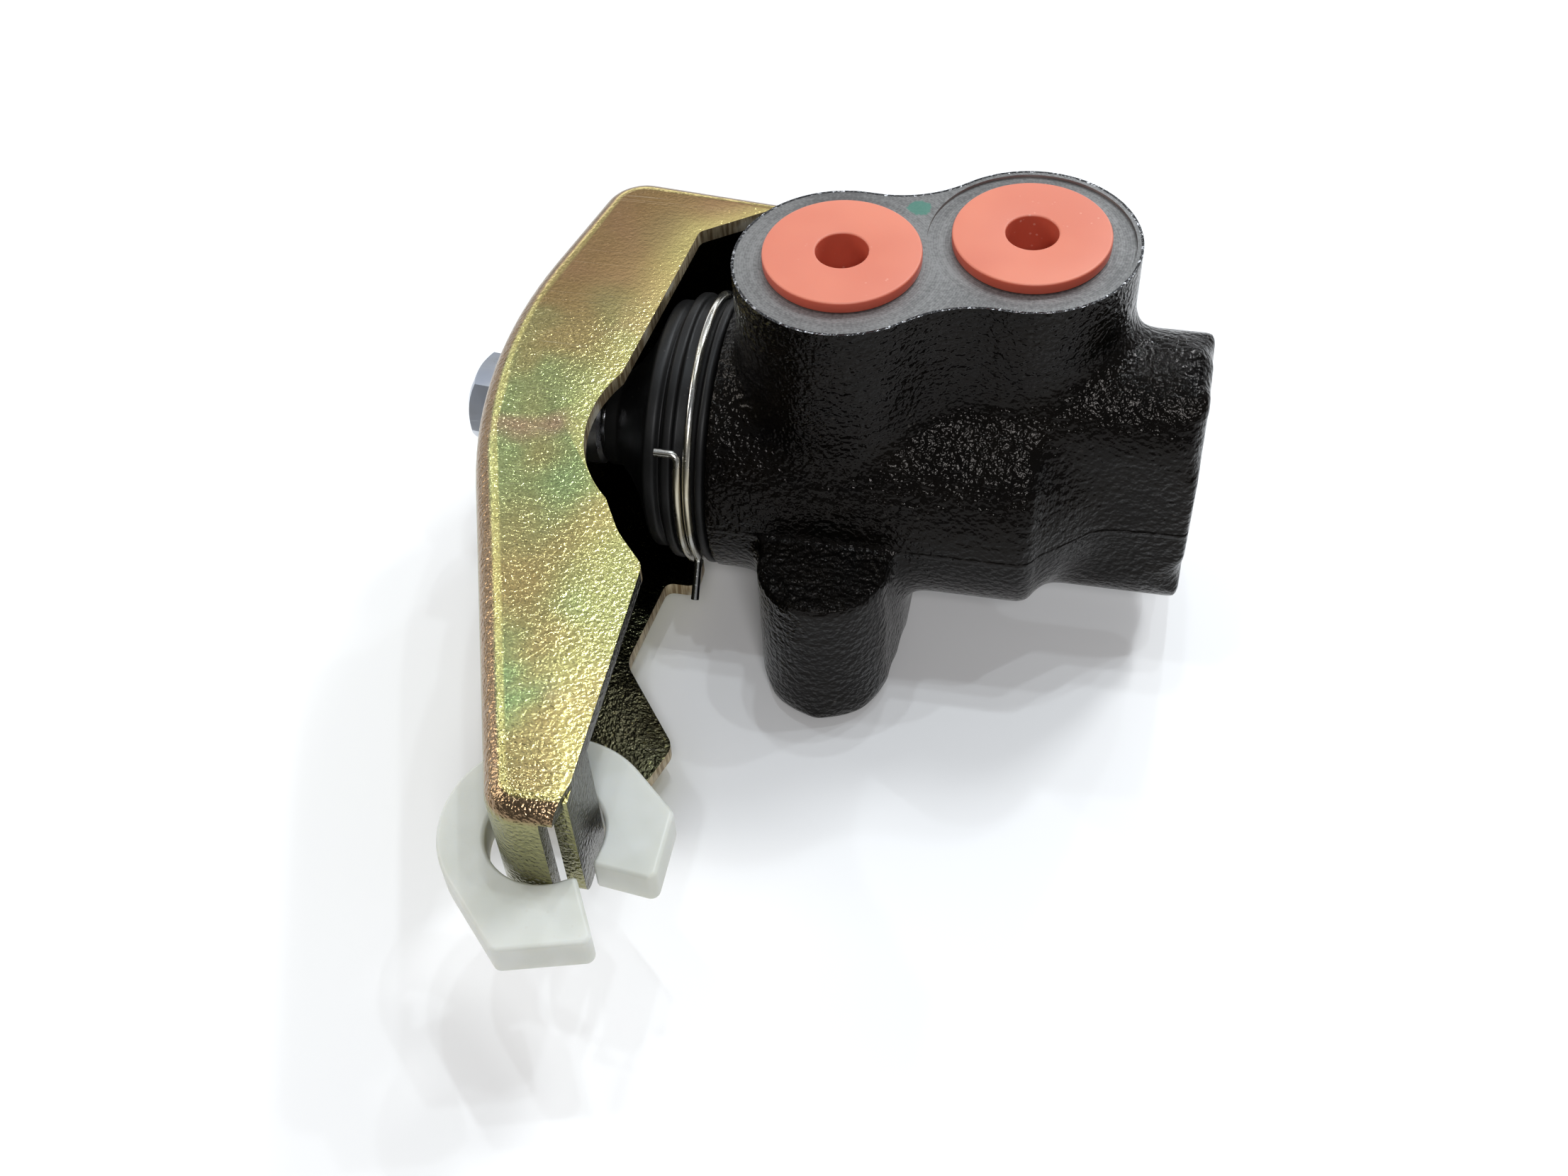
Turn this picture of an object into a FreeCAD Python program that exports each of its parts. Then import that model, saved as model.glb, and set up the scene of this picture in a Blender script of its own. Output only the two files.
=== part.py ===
# Load-sensing brake proportioning valve with its lever, boot and port plugs.
# Millimetres. The origin is the mouth of the threaded hole under the front lug, and +Z is up.
# The bore runs along +X, and the lever turns about a vertical pin behind the left port.
import FreeCAD, Part
import math
import os
import re
import Sketcher
from FreeCAD import Placement, Rotation, Vector

sizes = {
    # Machined top with the two ports
    "port_face_z": 64.5, "port_mid_x": 12.0, "port_mid_y": 26.5, "port_yaw": 18.0, "port_pitch": 26.35,
    "lobe_radius": 15.3, "waist_radius": 16.1, "spot_rim": 0.9, "spot_depth": 0.5,
    "port_radius": 5.5, "port_depth": 15.0, "port_bevel": 0.4, "passage_radius": 2.5,
    # Barrel, spigot for the boot, and end boss
    "axis_y": 24.5, "axis_z": 27.0, "barrel_radius": 21.0, "barrel_left_x": -18.5, "barrel_right_x": 27.5,
    "shoulder_x": 35.0, "shoulder_radius": 12.0, "barrel_round": 2.0,
    "spigot_radius": 18.0, "spigot_left_x": -24.0, "spigot_bevel": 0.6,
    "boss_radius": 11.5, "boss_rise": 9.0, "boss_end_x": 51.4, "boss_round": 2.0,
    "end_hole_radius": 3.4, "end_hole_rise": 9.0, "end_hole_depth": 14.0,
    # Front lug and the pivot ear behind
    "lug_radius": 9.7, "lug_back_y": 8.0, "lug_spread": 10.6, "lug_round": 2.5,
    "foot_hole_radius": 4.25, "foot_hole_depth": 16.0,
    "pivot_x": -6.5, "pivot_y": 45.5, "ear_radius": 6.3, "ear_root_y": 31.0, "ear_gap": 0.3,
    # Stepped bore
    "entry_radius": 11.0, "entry_end_x": -11.0, "spring_room_radius": 9.5, "spring_room_end_x": 4.0,
    "inner_radius": 6.0, "inner_end_x": 30.0,
    "ring_groove_radius": 12.0, "ring_groove_x": -22.5, "ring_groove_width": 1.2,
    # Plunger and what rides on it
    "head_x": -42.6, "head_thick": 4.6, "head_radius": 7.5, "head_bevel": 0.6,
    "shaft_radius": 5.0, "collar_radius": 8.5, "collar_thick": 1.95, "collar_gap": 0.05,
    "stem_radius": 4.2, "land_x": 7.0, "land_length": 9.0, "nose_radius": 3.0, "nose_end_x": 22.0,
    "slide_fit": 0.05, "seal_gap": 0.1, "seat_thick": 1.0, "seat_gap": 0.3,
    "metering_width": 2.3, "retainer_width": 0.8, "retainer_radius": 5.0,
    # Guide bush, seals and retaining ring
    "guide_x": -21.0, "pocket_radius": 7.6, "pocket_depth": 4.3, "cup_length": 2.7, "cup_lip": 0.7,
    "backup_width": 1.1, "gland_x": -18.0, "gland_ring_wire": 1.0, "gland_slack": 0.3,
    "ring_band": 2.2, "ring_play": 0.05, "ring_opening": 3.0,
    # Return spring
    "spring_mean_radius": 7.6, "spring_wire": 0.9, "spring_turns": 4.0,
    # Port plugs
    "plug_flange_radius": 11.0, "plug_flange_thick": 1.8, "plug_round": 0.5, "plug_stem_length": 12.0,
    "plug_hollow_radius": 3.65, "plug_hollow_depth": 10.5, "plug_fit": 0.05, "plug_seat": 0.02,
    # Boot
    "boot_wall": 1.4, "boot_grip": 0.05, "boot_bead": 0.7, "rib_one_radius": 20.8, "rib_one_width": 1.6,
    "wire_groove_radius": 19.75, "wire_groove_width": 3.3, "rib_two_radius": 20.6, "rib_two_width": 1.7,
    "fold_radius": 18.3, "fold_x": -25.8, "rib_three_radius": 19.2, "rib_three_x": -27.4,
    "boot_crest": 1.0,
    "cone_x": -31.0, "cone_radius": 12.6, "neck_x": -35.3, "neck_radius": 7.4, "neck_end_x": -37.5,
    # Boot clip
    "clip_wire": 0.65, "clip_gap": 0.05, "clip_start": 203.0, "clip_turn": 413.0, "clip_pitch": 1.45,
    "clip_bend": 2.2, "clip_tail_y": 25.5, "clip_tail_z": 4.2,
    # Lever, one folded sheet
    "sheet": 2.3, "lever_low_z": 5.0, "lever_high_z": 49.0, "fold_outer": 3.5,
    "web_end_x": -13.5, "corner_x": -37.2, "corner_y": 49.4, "corner_radius": 7.0,
    "back_left_x": -50.5, "back_y": 15.7, "back_radius": 80.0,
    "nose_x": -24.6, "nose_y": -57.0, "nose_round": 5.5, "nose_slit_x": -21.85,
    "eye_radius": 7.6, "eye_arm": 1.5, "eye_rise": 1.0, "cut_reach": 140.0,
    "foot_y": -34.0, "foot_round": 3.0, "shoulder_y": -40.0, "shoulder_round": 4.0,
    "post_y": -52.6, "post_low_z": 27.0,
    # Cut edge of the lever's upper flange, from the eye to the nose
    "cusp_x": -15.2, "cusp_y": 50.0, "cusp_round": 1.8, "notch_x": -25.4, "notch_y": 43.2,
    "notch_round": 1.6, "waist_x": -24.7, "waist_y": -0.5, "waist_round": 7.5,
    "flare_x": -13.8, "flare_y": -10.7, "flare_round": 12.0,
    "elbow_x": -21.6, "elbow_y": -23.9, "elbow_round": 2.6,
    "lap_x": -22.0, "lap_y": -57.0, "lap_round": 3.0, "lap_end_x": -21.5,
    # Cut edge of the lower flange, with its tongue
    "tongue_x": -22.5, "tongue_low_y": 8.4, "tongue_high_y": 15.0, "tongue_round": 1.5,
    "tongue_high_root_x": -28.5, "tongue_low_root_x": -27.5,
    "low_waist_x": -24.8, "low_waist_y": -7.0, "low_waist_round": 4.5,
    "low_elbow_x": -22.0, "low_elbow_y": -22.6, "low_elbow_round": 2.8, "foot_x": -22.0,
    "tab_x": -19.0, "tab_low_y": -59.5, "tab_high_y": -50.9, "tab_round": 2.0,
    # Pivot pin, its bushes and clip
    "pin_radius": 3.0, "pin_fit": 0.02, "pin_head_radius": 5.2, "pin_head_thick": 1.7, "pin_end_z": 1.6,
    "bush_fit": 0.05, "bush_wall": 1.3, "bush_collar_radius": 6.2, "bush_collar_thick": 0.8,
    "clip_neck_radius": 2.3, "clip_thick": 0.8, "clip_outer_radius": 5.2, "clip_band": 2.8,
    "clip_play": 0.1, "clip_opening": 2.0,
    # Adjusting screw, its nut and disc, square to the web
    "screw_radius": 4.0, "screw_hole_fit": 0.05, "screw_dome": 2.6, "screw_touch": 0.2,
    "screw_proud": 1.6, "screw_bevel": 0.7, "hex_key": 4.0, "hex_key_depth": 4.5,
    "cap_radius": 14.7, "cap_rim": 1.6, "cap_height": 4.0, "cap_crown": 9.5, "cap_seat": 0.05,
    "nut_flats": 13.0, "nut_height": 5.0, "nut_bevel": 0.6, "nut_seat": 0.02,
    # Nose bush, one plastic ring with a slot
    "bush_hole_x": -25.0, "bush_hole_y": -55.2, "bush_hole_radius": 7.6,
    "bush_body_x": -25.0, "bush_body_y": -54.5, "bush_body_radius": 13.9,
    "bush_low_z": 28.5, "bush_thick": 5.5, "bush_edge": 0.4, "bush_lift": 0.3,
    "bush_corner": 1.2, "bush_lip": 0.6,
    "bush_heel_x": -26.3, "bush_heel_y": -71.4, "bush_toe_x": -16.5, "bush_toe_y": -68.7,
    "bush_mouth_low_x": -19.6, "bush_mouth_low_y": -61.6,
    "bush_mouth_high_x": -17.2, "bush_mouth_high_y": -58.4,
    "bush_prong_x": -10.8, "bush_prong_low_y": -58.5, "bush_prong_high_y": -50.2,
}

# Places that follow from the sizes by more than a sum
worked_out = {
    "lean": "asin((Sizes.axis_y - Sizes.back_y) / Sizes.back_radius) / 1 deg",
    "web_x": "Sizes.back_left_x + Sizes.back_radius"
             " - sqrt(Sizes.back_radius^2 - (Sizes.axis_y - Sizes.back_y)^2)",
    "screw_reach": "(Sizes.head_x - web_x) / cos(lean * 1 deg) - Sizes.screw_touch",
    "waist_centre": "sqrt((Sizes.lobe_radius + Sizes.waist_radius)^2 - (Sizes.port_pitch / 2)^2)",
    "port_step_x": "Sizes.port_pitch / 2 * cos(Sizes.port_yaw * 1 deg)",
    "port_step_y": "Sizes.port_pitch / 2 * sin(Sizes.port_yaw * 1 deg)",
    "clip_ring_radius": "Sizes.wire_groove_radius + Sizes.clip_gap + Sizes.clip_wire",
    "clip_length": "Sizes.clip_pitch * Sizes.clip_turn / 360",
    "clip_x": "Sizes.barrel_left_x - Sizes.rib_one_width - Sizes.wire_groove_width / 2 + clip_length / 2",
    "nut_corner": "Sizes.nut_flats / 2 / cos(30 deg)",
    "spring_flats": "2 * Sizes.spring_wire * cos(30 deg)",
    "clip_flats": "2 * Sizes.clip_wire * cos(30 deg)",
    "gland_flats": "2 * Sizes.gland_ring_wire * cos(30 deg)",
    "key_corner": "Sizes.hex_key / 2 / cos(30 deg)",
    "spring_length": "Sizes.spring_room_end_x - Sizes.entry_end_x - Sizes.collar_gap"
                     " - Sizes.collar_thick - Sizes.seat_thick - 2 * Sizes.spring_wire - Sizes.seal_gap",
}

doc = FreeCAD.newDocument("proportioning_valve")
sheet = doc.addObject("Spreadsheet::Sheet", "Sizes")
for row, (alias, number) in enumerate(sizes.items(), start=1):
    sheet.set(f"A{row}", alias)
    sheet.set(f"B{row}", str(number))
    sheet.setAlias(f"B{row}", alias)
doc.recompute()
worked = doc.addObject("App::VarSet", "Worked")
for name in worked_out:
    worked.addProperty("App::PropertyFloat", name)
for name, formula in worked_out.items():
    worked.setExpression(name, formula)
doc.recompute()


def named(word):
    """Number that one word of a sum stands for."""
    if word in sizes:
        return sizes[word]
    if word in worked_out:
        return getattr(worked, word)
    return float(word)


def amount(text):
    """Number that a sum of sizes comes to, such as 'guide_x + 2*sheet'."""
    total, sign = 0.0, 1
    for word in text.split():
        if word in ("+", "-"):
            sign = 1 if word == "+" else -1
        else:
            total += sign * math.prod(named(factor) for factor in word.split("*"))
    return total


def bound(text):
    """The same sum as an expression on the sheet."""
    def full(match):
        return ("Sizes." if match[0] in sizes else "Worked.") + match[0]
    return re.sub(r"[a-z]\w*", full, text)


def new_body(label, x="0", y="0", z="0"):
    body = doc.addObject("PartDesign::Body", label)
    body.Label = label
    for axis, text in zip("xyz", (x, y, z)):
        body.setExpression(f"Placement.Base.{axis}", bound(text))
    return body


def new_sketch(body, name, plane, x="0", y="0", out="0"):
    """Sketch on one of the body's own planes, shifted in the plane and out of it."""
    sketch = body.newObject("Sketcher::SketchObject", name)
    support = [item for item in body.Origin.OriginFeatures if item.Role == plane][0]
    sketch.AttachmentSupport = (support, "")
    sketch.MapMode = "FlatFace"
    for axis, text in zip("xyz", (x, y, out)):
        sketch.setExpression(f"AttachmentOffset.Base.{axis}", bound(text))
    return sketch


def fix(sketch, constraint, text):
    """Add a dimension and tie it to the sheet."""
    index = sketch.addConstraint(constraint)
    sketch.setExpression(f"Constraints[{index}]", bound(text))


def fix_point(sketch, item, end, x, y):
    fix(sketch, Sketcher.Constraint("DistanceX", -1, 1, item, end, amount(x)), x)
    fix(sketch, Sketcher.Constraint("DistanceY", -1, 1, item, end, amount(y)), y)


def circle(sketch, x, y, radius):
    ring = Part.Circle(Vector(amount(x), amount(y), 0), Vector(0, 0, 1), amount(radius))
    item = sketch.addGeometry(ring)
    fix(sketch, Sketcher.Constraint("Radius", item, amount(radius)), radius)
    fix_point(sketch, item, 3, x, y)


def belt(sketch, discs):
    """Closed outline that runs like a belt round discs, each (x, y, radius).

    It runs anticlockwise. A minus sign on a radius puts that disc outside the outline,
    and a radius of 0 is a sharp corner."""
    count = len(discs)
    centre = [Vector(amount(x), amount(y), 0) for x, y, _ in discs]
    radius = [amount(r) for _, _, r in discs]
    leave = []
    arrive = []
    for here in range(count):
        after = (here + 1) % count
        span = centre[after] - centre[here]
        heading = math.atan2(span.y, span.x) - math.asin((radius[after] - radius[here]) / span.Length)
        left = Vector(-math.sin(heading), math.cos(heading), 0)
        leave.append(centre[here] - left * radius[here])
        arrive.append(centre[after] - left * radius[after])
    lines = [sketch.addGeometry(Part.LineSegment(a, b)) for a, b in zip(leave, arrive)]
    for here, (x, y, text) in enumerate(discs):
        before = lines[here - 1]
        if radius[here] == 0:
            sketch.addConstraint(Sketcher.Constraint("Coincident", before, 2, lines[here], 1))
            fix_point(sketch, lines[here], 1, x, y)
            continue
        ends = [arrive[here - 1], leave[here]]
        if radius[here] < 0:
            ends.reverse()
        angles = [math.atan2(end.y - centre[here].y, end.x - centre[here].x) for end in ends]
        whole = Part.Circle(centre[here], Vector(0, 0, 1), abs(radius[here]))
        arc = sketch.addGeometry(Part.ArcOfCircle(whole, *angles))
        first, last = (1, 2) if radius[here] > 0 else (2, 1)
        sketch.addConstraint(Sketcher.Constraint("Tangent", before, 2, arc, first))
        sketch.addConstraint(Sketcher.Constraint("Tangent", arc, last, lines[here], 1))
        fix(sketch, Sketcher.Constraint("Radius", arc, abs(radius[here])), text.lstrip("- "))
        fix_point(sketch, arc, 3, x, y)


def hexagon(sketch, corner, flats, y="0"):
    """Regular hexagon with two corners on its X line; wires use it too, as it keeps their mesh small."""
    high = f"{y} + 0.5*{flats}"
    low = f"{y} - 0.5*{flats}"
    belt(sketch, [(corner, y, "0"), ("0.5*" + corner, high, "0"), ("- 0.5*" + corner, high, "0"),
                  ("- " + corner, y, "0"), ("- 0.5*" + corner, low, "0"), ("0.5*" + corner, low, "0")])


def extrude(body, kind, name, sketch, length, back=False, middle=False):
    feature = body.newObject(f"PartDesign::{kind}", name)
    feature.Profile = sketch
    feature.setExpression("Length", bound(length))
    feature.Reversed = back
    if middle:
        feature.SideType = "Symmetric"
    return feature


def turn(body, kind, name, sketch, axis="H_Axis"):
    feature = body.newObject(f"PartDesign::{kind}", name)
    feature.Profile = sketch
    feature.ReferenceAxis = (sketch, [axis])
    feature.Angle = 360
    return feature


def soften(body, name, chosen, radius, kind="Fillet"):
    """Round or bevel the edges of the body so far that the test picks."""
    doc.recompute()
    base = body.Tip
    picked = [f"Edge{i}" for i, edge in enumerate(base.Shape.Edges, start=1) if chosen(edge)]
    feature = body.newObject(f"PartDesign::{kind}", name)
    feature.Base = (base, picked)
    feature.setExpression("Radius" if kind == "Fillet" else "Size", bound(radius))
    return feature


def turned(label, profile, x="0", y="axis_y", z="axis_z"):
    """Piece turned about its own X axis from (along, radius) points or discs."""
    body = new_body(label, x, y, z)
    sketch = new_sketch(body, f"{label}_profile", "XZ_Plane")
    belt(sketch, [disc if len(disc) == 3 else (*disc, "0") for disc in profile])
    turn(body, "Revolution", f"{label}_turned", sketch)
    return body


def upright(label, profile, x, y, z):
    """Piece turned about its own Z axis from (radius, height) points or discs."""
    body = new_body(label, x, y, z)
    sketch = new_sketch(body, f"{label}_profile", "XZ_Plane")
    belt(sketch, [disc if len(disc) == 3 else (*disc, "0") for disc in profile])
    turn(body, "Revolution", f"{label}_turned", sketch, "V_Axis")
    return body


def near(value, text):
    return abs(value - amount(text)) < 0.01


def at_height(edge, text):
    box = edge.BoundBox
    return near(box.ZMin, text) and near(box.ZMax, text)


# Casting
def port_sketch(body, name, out):
    """Sketch square to the ports, with the line through both ports along its X."""
    sketch = new_sketch(body, name, "XY_Plane", "port_mid_x", "port_mid_y", out)
    offset = sketch.AttachmentOffset
    sketch.AttachmentOffset = Placement(offset.Base, Rotation(Vector(0, 0, 1), amount("port_yaw")))
    sketch.setExpression("AttachmentOffset.Rotation.Angle", bound("port_yaw"))
    return sketch


def lobed_outline(sketch):
    """Two round lobes joined by a hollow waist, all in tangent arcs."""
    lobe = amount("lobe_radius")
    waist = amount("waist_radius")
    half = amount("0.5*port_pitch")
    rise = worked.waist_centre
    lean = math.atan2(rise, half)
    up = Vector(0, 0, 1)
    right = Part.ArcOfCircle(Part.Circle(Vector(half, 0, 0), up, lobe), lean - math.pi, math.pi - lean)
    left = Part.ArcOfCircle(Part.Circle(Vector(-half, 0, 0), up, lobe), lean, 2 * math.pi - lean)
    far = Part.ArcOfCircle(Part.Circle(Vector(0, rise, 0), up, waist), math.pi + lean, -lean)
    near_side = Part.ArcOfCircle(Part.Circle(Vector(0, -rise, 0), up, waist), lean, math.pi - lean)
    right, far, left, near_side = sketch.addGeometry([right, far, left, near_side])
    sketch.addConstraint(Sketcher.Constraint("Tangent", right, 2, far, 2))
    sketch.addConstraint(Sketcher.Constraint("Tangent", far, 1, left, 1))
    sketch.addConstraint(Sketcher.Constraint("Tangent", left, 2, near_side, 2))
    sketch.addConstraint(Sketcher.Constraint("Tangent", near_side, 1, right, 1))
    fix_point(sketch, right, 3, "0.5*port_pitch", "0")
    fix_point(sketch, left, 3, "- 0.5*port_pitch", "0")
    for item, text in ((right, "lobe_radius"), (left, "lobe_radius"), (far, "waist_radius"),
                       (near_side, "waist_radius")):
        fix(sketch, Sketcher.Constraint("Radius", item, amount(text)), text)


def valve_body():
    body = new_body("valve_body")
    barrel = new_sketch(body, "barrel_profile", "XZ_Plane", "0", "axis_z", "- axis_y")
    belt(barrel, [("spigot_left_x", "0", "0"), ("barrel_right_x", "0", "0"), ("shoulder_x", "0", "0"),
                  ("shoulder_x", "shoulder_radius", "0"),
                  ("barrel_right_x - barrel_round", "barrel_radius - barrel_round", "barrel_round"),
                  ("barrel_left_x", "barrel_radius", "0"), ("barrel_left_x", "spigot_radius", "0"),
                  ("spigot_left_x + spigot_bevel", "spigot_radius", "0"),
                  ("spigot_left_x", "spigot_radius - spigot_bevel", "0")])
    turn(body, "Revolution", "barrel", barrel)
    boss = new_sketch(body, "boss_outline", "YZ_Plane", "axis_y", "axis_z", "boss_end_x")
    belt(boss, [("0", "boss_rise", "boss_radius"), ("0", "- boss_rise", "boss_radius")])
    extrude(body, "Pad", "end_boss", boss, "boss_end_x", back=True)
    columns = port_sketch(body, "column_outline", "axis_z")
    lobed_outline(columns)
    extrude(body, "Pad", "port_columns", columns, "port_face_z - axis_z")
    lug = new_sketch(body, "lug_outline", "XY_Plane")
    belt(lug, [("0", "0", "lug_radius"), ("lug_spread", "lug_back_y", "0"),
               ("- lug_spread", "lug_back_y", "0")])
    extrude(body, "Pad", "foot_lug", lug, "axis_z")
    ear = new_sketch(body, "ear_outline", "XY_Plane", out="lever_low_z + sheet + ear_gap")
    belt(ear, [("pivot_x", "ear_root_y", "ear_radius"), ("pivot_x", "pivot_y", "ear_radius")])
    extrude(body, "Pad", "pivot_ear", ear, "lever_high_z - lever_low_z - 2*sheet - 2*ear_gap")
    soften(body, "boss_end_round", lambda edge: near(edge.BoundBox.XMin, "boss_end_x"), "boss_round")
    soften(body, "lug_foot_round", lambda edge: at_height(edge, "0"), "lug_round")
    bore = new_sketch(body, "bore_profile", "XZ_Plane", "0", "axis_z", "- axis_y")
    belt(bore, [("spigot_left_x", "0", "0"), ("inner_end_x", "0", "0"),
                ("inner_end_x", "inner_radius", "0"), ("spring_room_end_x", "inner_radius", "0"),
                ("spring_room_end_x", "spring_room_radius", "0"),
                ("entry_end_x", "spring_room_radius", "0"), ("entry_end_x", "entry_radius", "0"),
                ("ring_groove_x + ring_groove_width", "entry_radius", "0"),
                ("ring_groove_x + ring_groove_width", "ring_groove_radius", "0"),
                ("ring_groove_x", "ring_groove_radius", "0"), ("ring_groove_x", "entry_radius", "0"),
                ("spigot_left_x", "entry_radius", "0")])
    turn(body, "Groove", "stepped_bore", bore)
    spot = port_sketch(body, "spot_outline", "port_face_z")
    circle(spot, "0.5*port_pitch", "0", "lobe_radius - spot_rim")
    extrude(body, "Pocket", "spot_face", spot, "spot_depth")
    ports = port_sketch(body, "port_outline", "port_face_z")
    passages = port_sketch(body, "passage_outline", "port_face_z - port_depth")
    for side in ("", "- "):
        circle(ports, side + "0.5*port_pitch", "0", "port_radius")
        circle(passages, side + "0.5*port_pitch", "0", "passage_radius")
    extrude(body, "Pocket", "ports", ports, "port_depth")
    extrude(body, "Pocket", "passages", passages, "port_face_z - port_depth - axis_z")
    soften(body, "port_bevels", lambda edge: edge.Curve.TypeId == "Part::GeomCircle"
           and near(edge.Curve.Radius, "port_radius") and edge.BoundBox.ZMin > amount(
               "port_face_z - 2*spot_depth"), "port_bevel", "Chamfer")
    foot = new_sketch(body, "foot_hole_outline", "XY_Plane")
    circle(foot, "0", "0", "foot_hole_radius")
    extrude(body, "Pocket", "foot_hole", foot, "foot_hole_depth", back=True)
    ends = new_sketch(body, "end_hole_outline", "YZ_Plane", "axis_y", "axis_z", "boss_end_x")
    for side in ("", "- "):
        circle(ends, "0", side + "end_hole_rise", "end_hole_radius")
    extrude(body, "Pocket", "end_holes", ends, "end_hole_depth")
    pin = new_sketch(body, "pin_hole_outline", "XY_Plane")
    circle(pin, "pivot_x", "pivot_y", "pin_radius + pin_fit")
    extrude(body, "Pocket", "pin_hole", pin, "port_face_z", back=True)
    return body


# Port plugs
def port_plug(label, side, seat):
    """Push-in plug: a flange that lies on the face, and a hollow stem in the port."""
    stem = "port_radius - plug_fit"
    return upright(label, [
        ("plug_hollow_radius", "plug_flange_thick - plug_hollow_depth", "0"),
        ("plug_hollow_radius", "plug_flange_thick", "0"),
        ("plug_flange_radius - plug_round", "plug_flange_thick", "0"),
        ("plug_flange_radius", "plug_flange_thick - plug_round", "0"),
        ("plug_flange_radius", "0", "0"), (stem, "0", "0"),
        (stem, "plug_round - plug_stem_length", "0"),
        (stem + " - plug_round", "- plug_stem_length", "0"), ("0", "- plug_stem_length", "0"),
        ("0", "plug_flange_thick - plug_hollow_depth", "0")][::-1],
        f"port_mid_x {side} port_step_x", f"port_mid_y {side} port_step_y", seat)


# Plunger train
def plunger_train():
    collar_x = "entry_end_x + collar_gap"
    collar_end = collar_x + " + collar_thick"
    turned("plunger", [
        ("head_x", "0"), ("nose_end_x", "0"), ("nose_end_x", "nose_radius"),
        ("land_x + land_length", "nose_radius"), ("land_x + land_length", "inner_radius - slide_fit"),
        ("land_x", "inner_radius - slide_fit"), ("land_x", "stem_radius"), (collar_end, "stem_radius"),
        (collar_end, "collar_radius"), (collar_x, "collar_radius"), (collar_x, "shaft_radius"),
        ("head_x + head_thick", "shaft_radius"), ("head_x + head_thick", "head_radius - head_bevel"),
        ("head_x + head_thick - head_bevel", "head_radius"), ("head_x + head_bevel", "head_radius"),
        ("head_x", "head_radius - head_bevel")])
    tube("spring_seat", collar_end, "seat_thick", "stem_radius + slide_fit",
         "spring_room_radius - seat_gap")
    metering_x = "land_x + land_length + seal_gap"
    tube("metering_seal", metering_x, "metering_width", "nose_radius + slide_fit",
         "inner_radius - seal_gap")
    tube("seal_retainer", metering_x + " + metering_width + seal_gap", "retainer_width",
         "nose_radius + slide_fit", "retainer_radius")


def tube(label, x, length, hole, radius):
    """Plain ring on the bore's axis."""
    return turned(label, [("0", hole), (length, hole), (length, radius), ("0", radius)], x)


def guide_parts():
    rim = "entry_radius - slide_fit"
    shaft = "shaft_radius + slide_fit"
    floor = "entry_radius - 2*gland_ring_wire - slide_fit"
    half = "gland_ring_wire + gland_slack"
    turned("guide_bush", [
        ("guide_x", shaft), ("entry_end_x - pocket_depth", shaft),
        ("entry_end_x - pocket_depth", "pocket_radius"), ("entry_end_x", "pocket_radius"),
        ("entry_end_x", rim), ("gland_x + " + half, rim), ("gland_x + " + half, floor),
        ("gland_x - gland_ring_wire - gland_slack", floor),
        ("gland_x - gland_ring_wire - gland_slack", rim), ("guide_x", rim)])
    ring = new_body("gland_o_ring", "gland_x", "axis_y", "axis_z")
    section = new_sketch(ring, "gland_section", "XZ_Plane")
    hexagon(section, "gland_ring_wire", "gland_flats", "entry_radius - gland_ring_wire")
    turn(ring, "Revolution", "gland_ring", section)
    pocket_x = "entry_end_x - pocket_depth + seal_gap"
    tube("backup_ring", pocket_x, "backup_width", shaft, "pocket_radius - slide_fit")
    lip = "cup_lip"
    rim = "pocket_radius - slide_fit"
    turned("plunger_seal", [
        ("0", shaft), ("cup_length", shaft), ("cup_length", shaft + " + " + lip),
        (lip, shaft + " + " + lip), (lip, rim + " - " + lip), ("cup_length", rim + " - " + lip),
        ("cup_length", rim), ("0", rim)], pocket_x + " + backup_width + seal_gap")
    snap = new_body("retaining_ring", "ring_groove_x + ring_play", "axis_y", "axis_z")
    outline = new_sketch(snap, "retaining_ring_outline", "YZ_Plane")
    open_ring(outline, "ring_groove_radius - ring_play", "ring_band", "ring_opening")
    extrude(snap, "Pad", "retaining_ring_plate", outline, "ring_groove_width - 2*ring_play")


def open_ring(sketch, outer, band, opening):
    """Flat ring with a gap of the given width on its -Y side, from two arcs and two lines."""
    radii = [amount(outer), amount(f"{outer} - {band}")]
    half = amount("0.5*" + opening)
    arcs = []
    for radius in radii:
        edge = math.asin(half / radius)
        whole = Part.Circle(Vector(0, 0, 0), Vector(0, 0, 1), radius)
        arcs.append(sketch.addGeometry(Part.ArcOfCircle(whole, edge - math.pi / 2,
                                                        1.5 * math.pi - edge)))
    points = [[sketch.getPoint(arc, end) for end in (1, 2)] for arc in arcs]
    sides = [sketch.addGeometry(Part.LineSegment(points[0][i], points[1][i])) for i in (0, 1)]
    for end, side in zip((1, 2), sides):
        sketch.addConstraint(Sketcher.Constraint("Coincident", arcs[0], end, side, 1))
        sketch.addConstraint(Sketcher.Constraint("Coincident", arcs[1], end, side, 2))
        sketch.addConstraint(Sketcher.Constraint("Vertical", side))
    for arc, text in zip(arcs, (outer, f"{outer} - {band}")):
        fix(sketch, Sketcher.Constraint("Radius", arc, amount(text)), text)
        fix_point(sketch, arc, 3, "0", "0")
    for side, text in zip(sides, ("0.5*" + opening, "- 0.5*" + opening)):
        fix(sketch, Sketcher.Constraint("DistanceX", -1, 1, side, 1, amount(text)), text)


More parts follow.
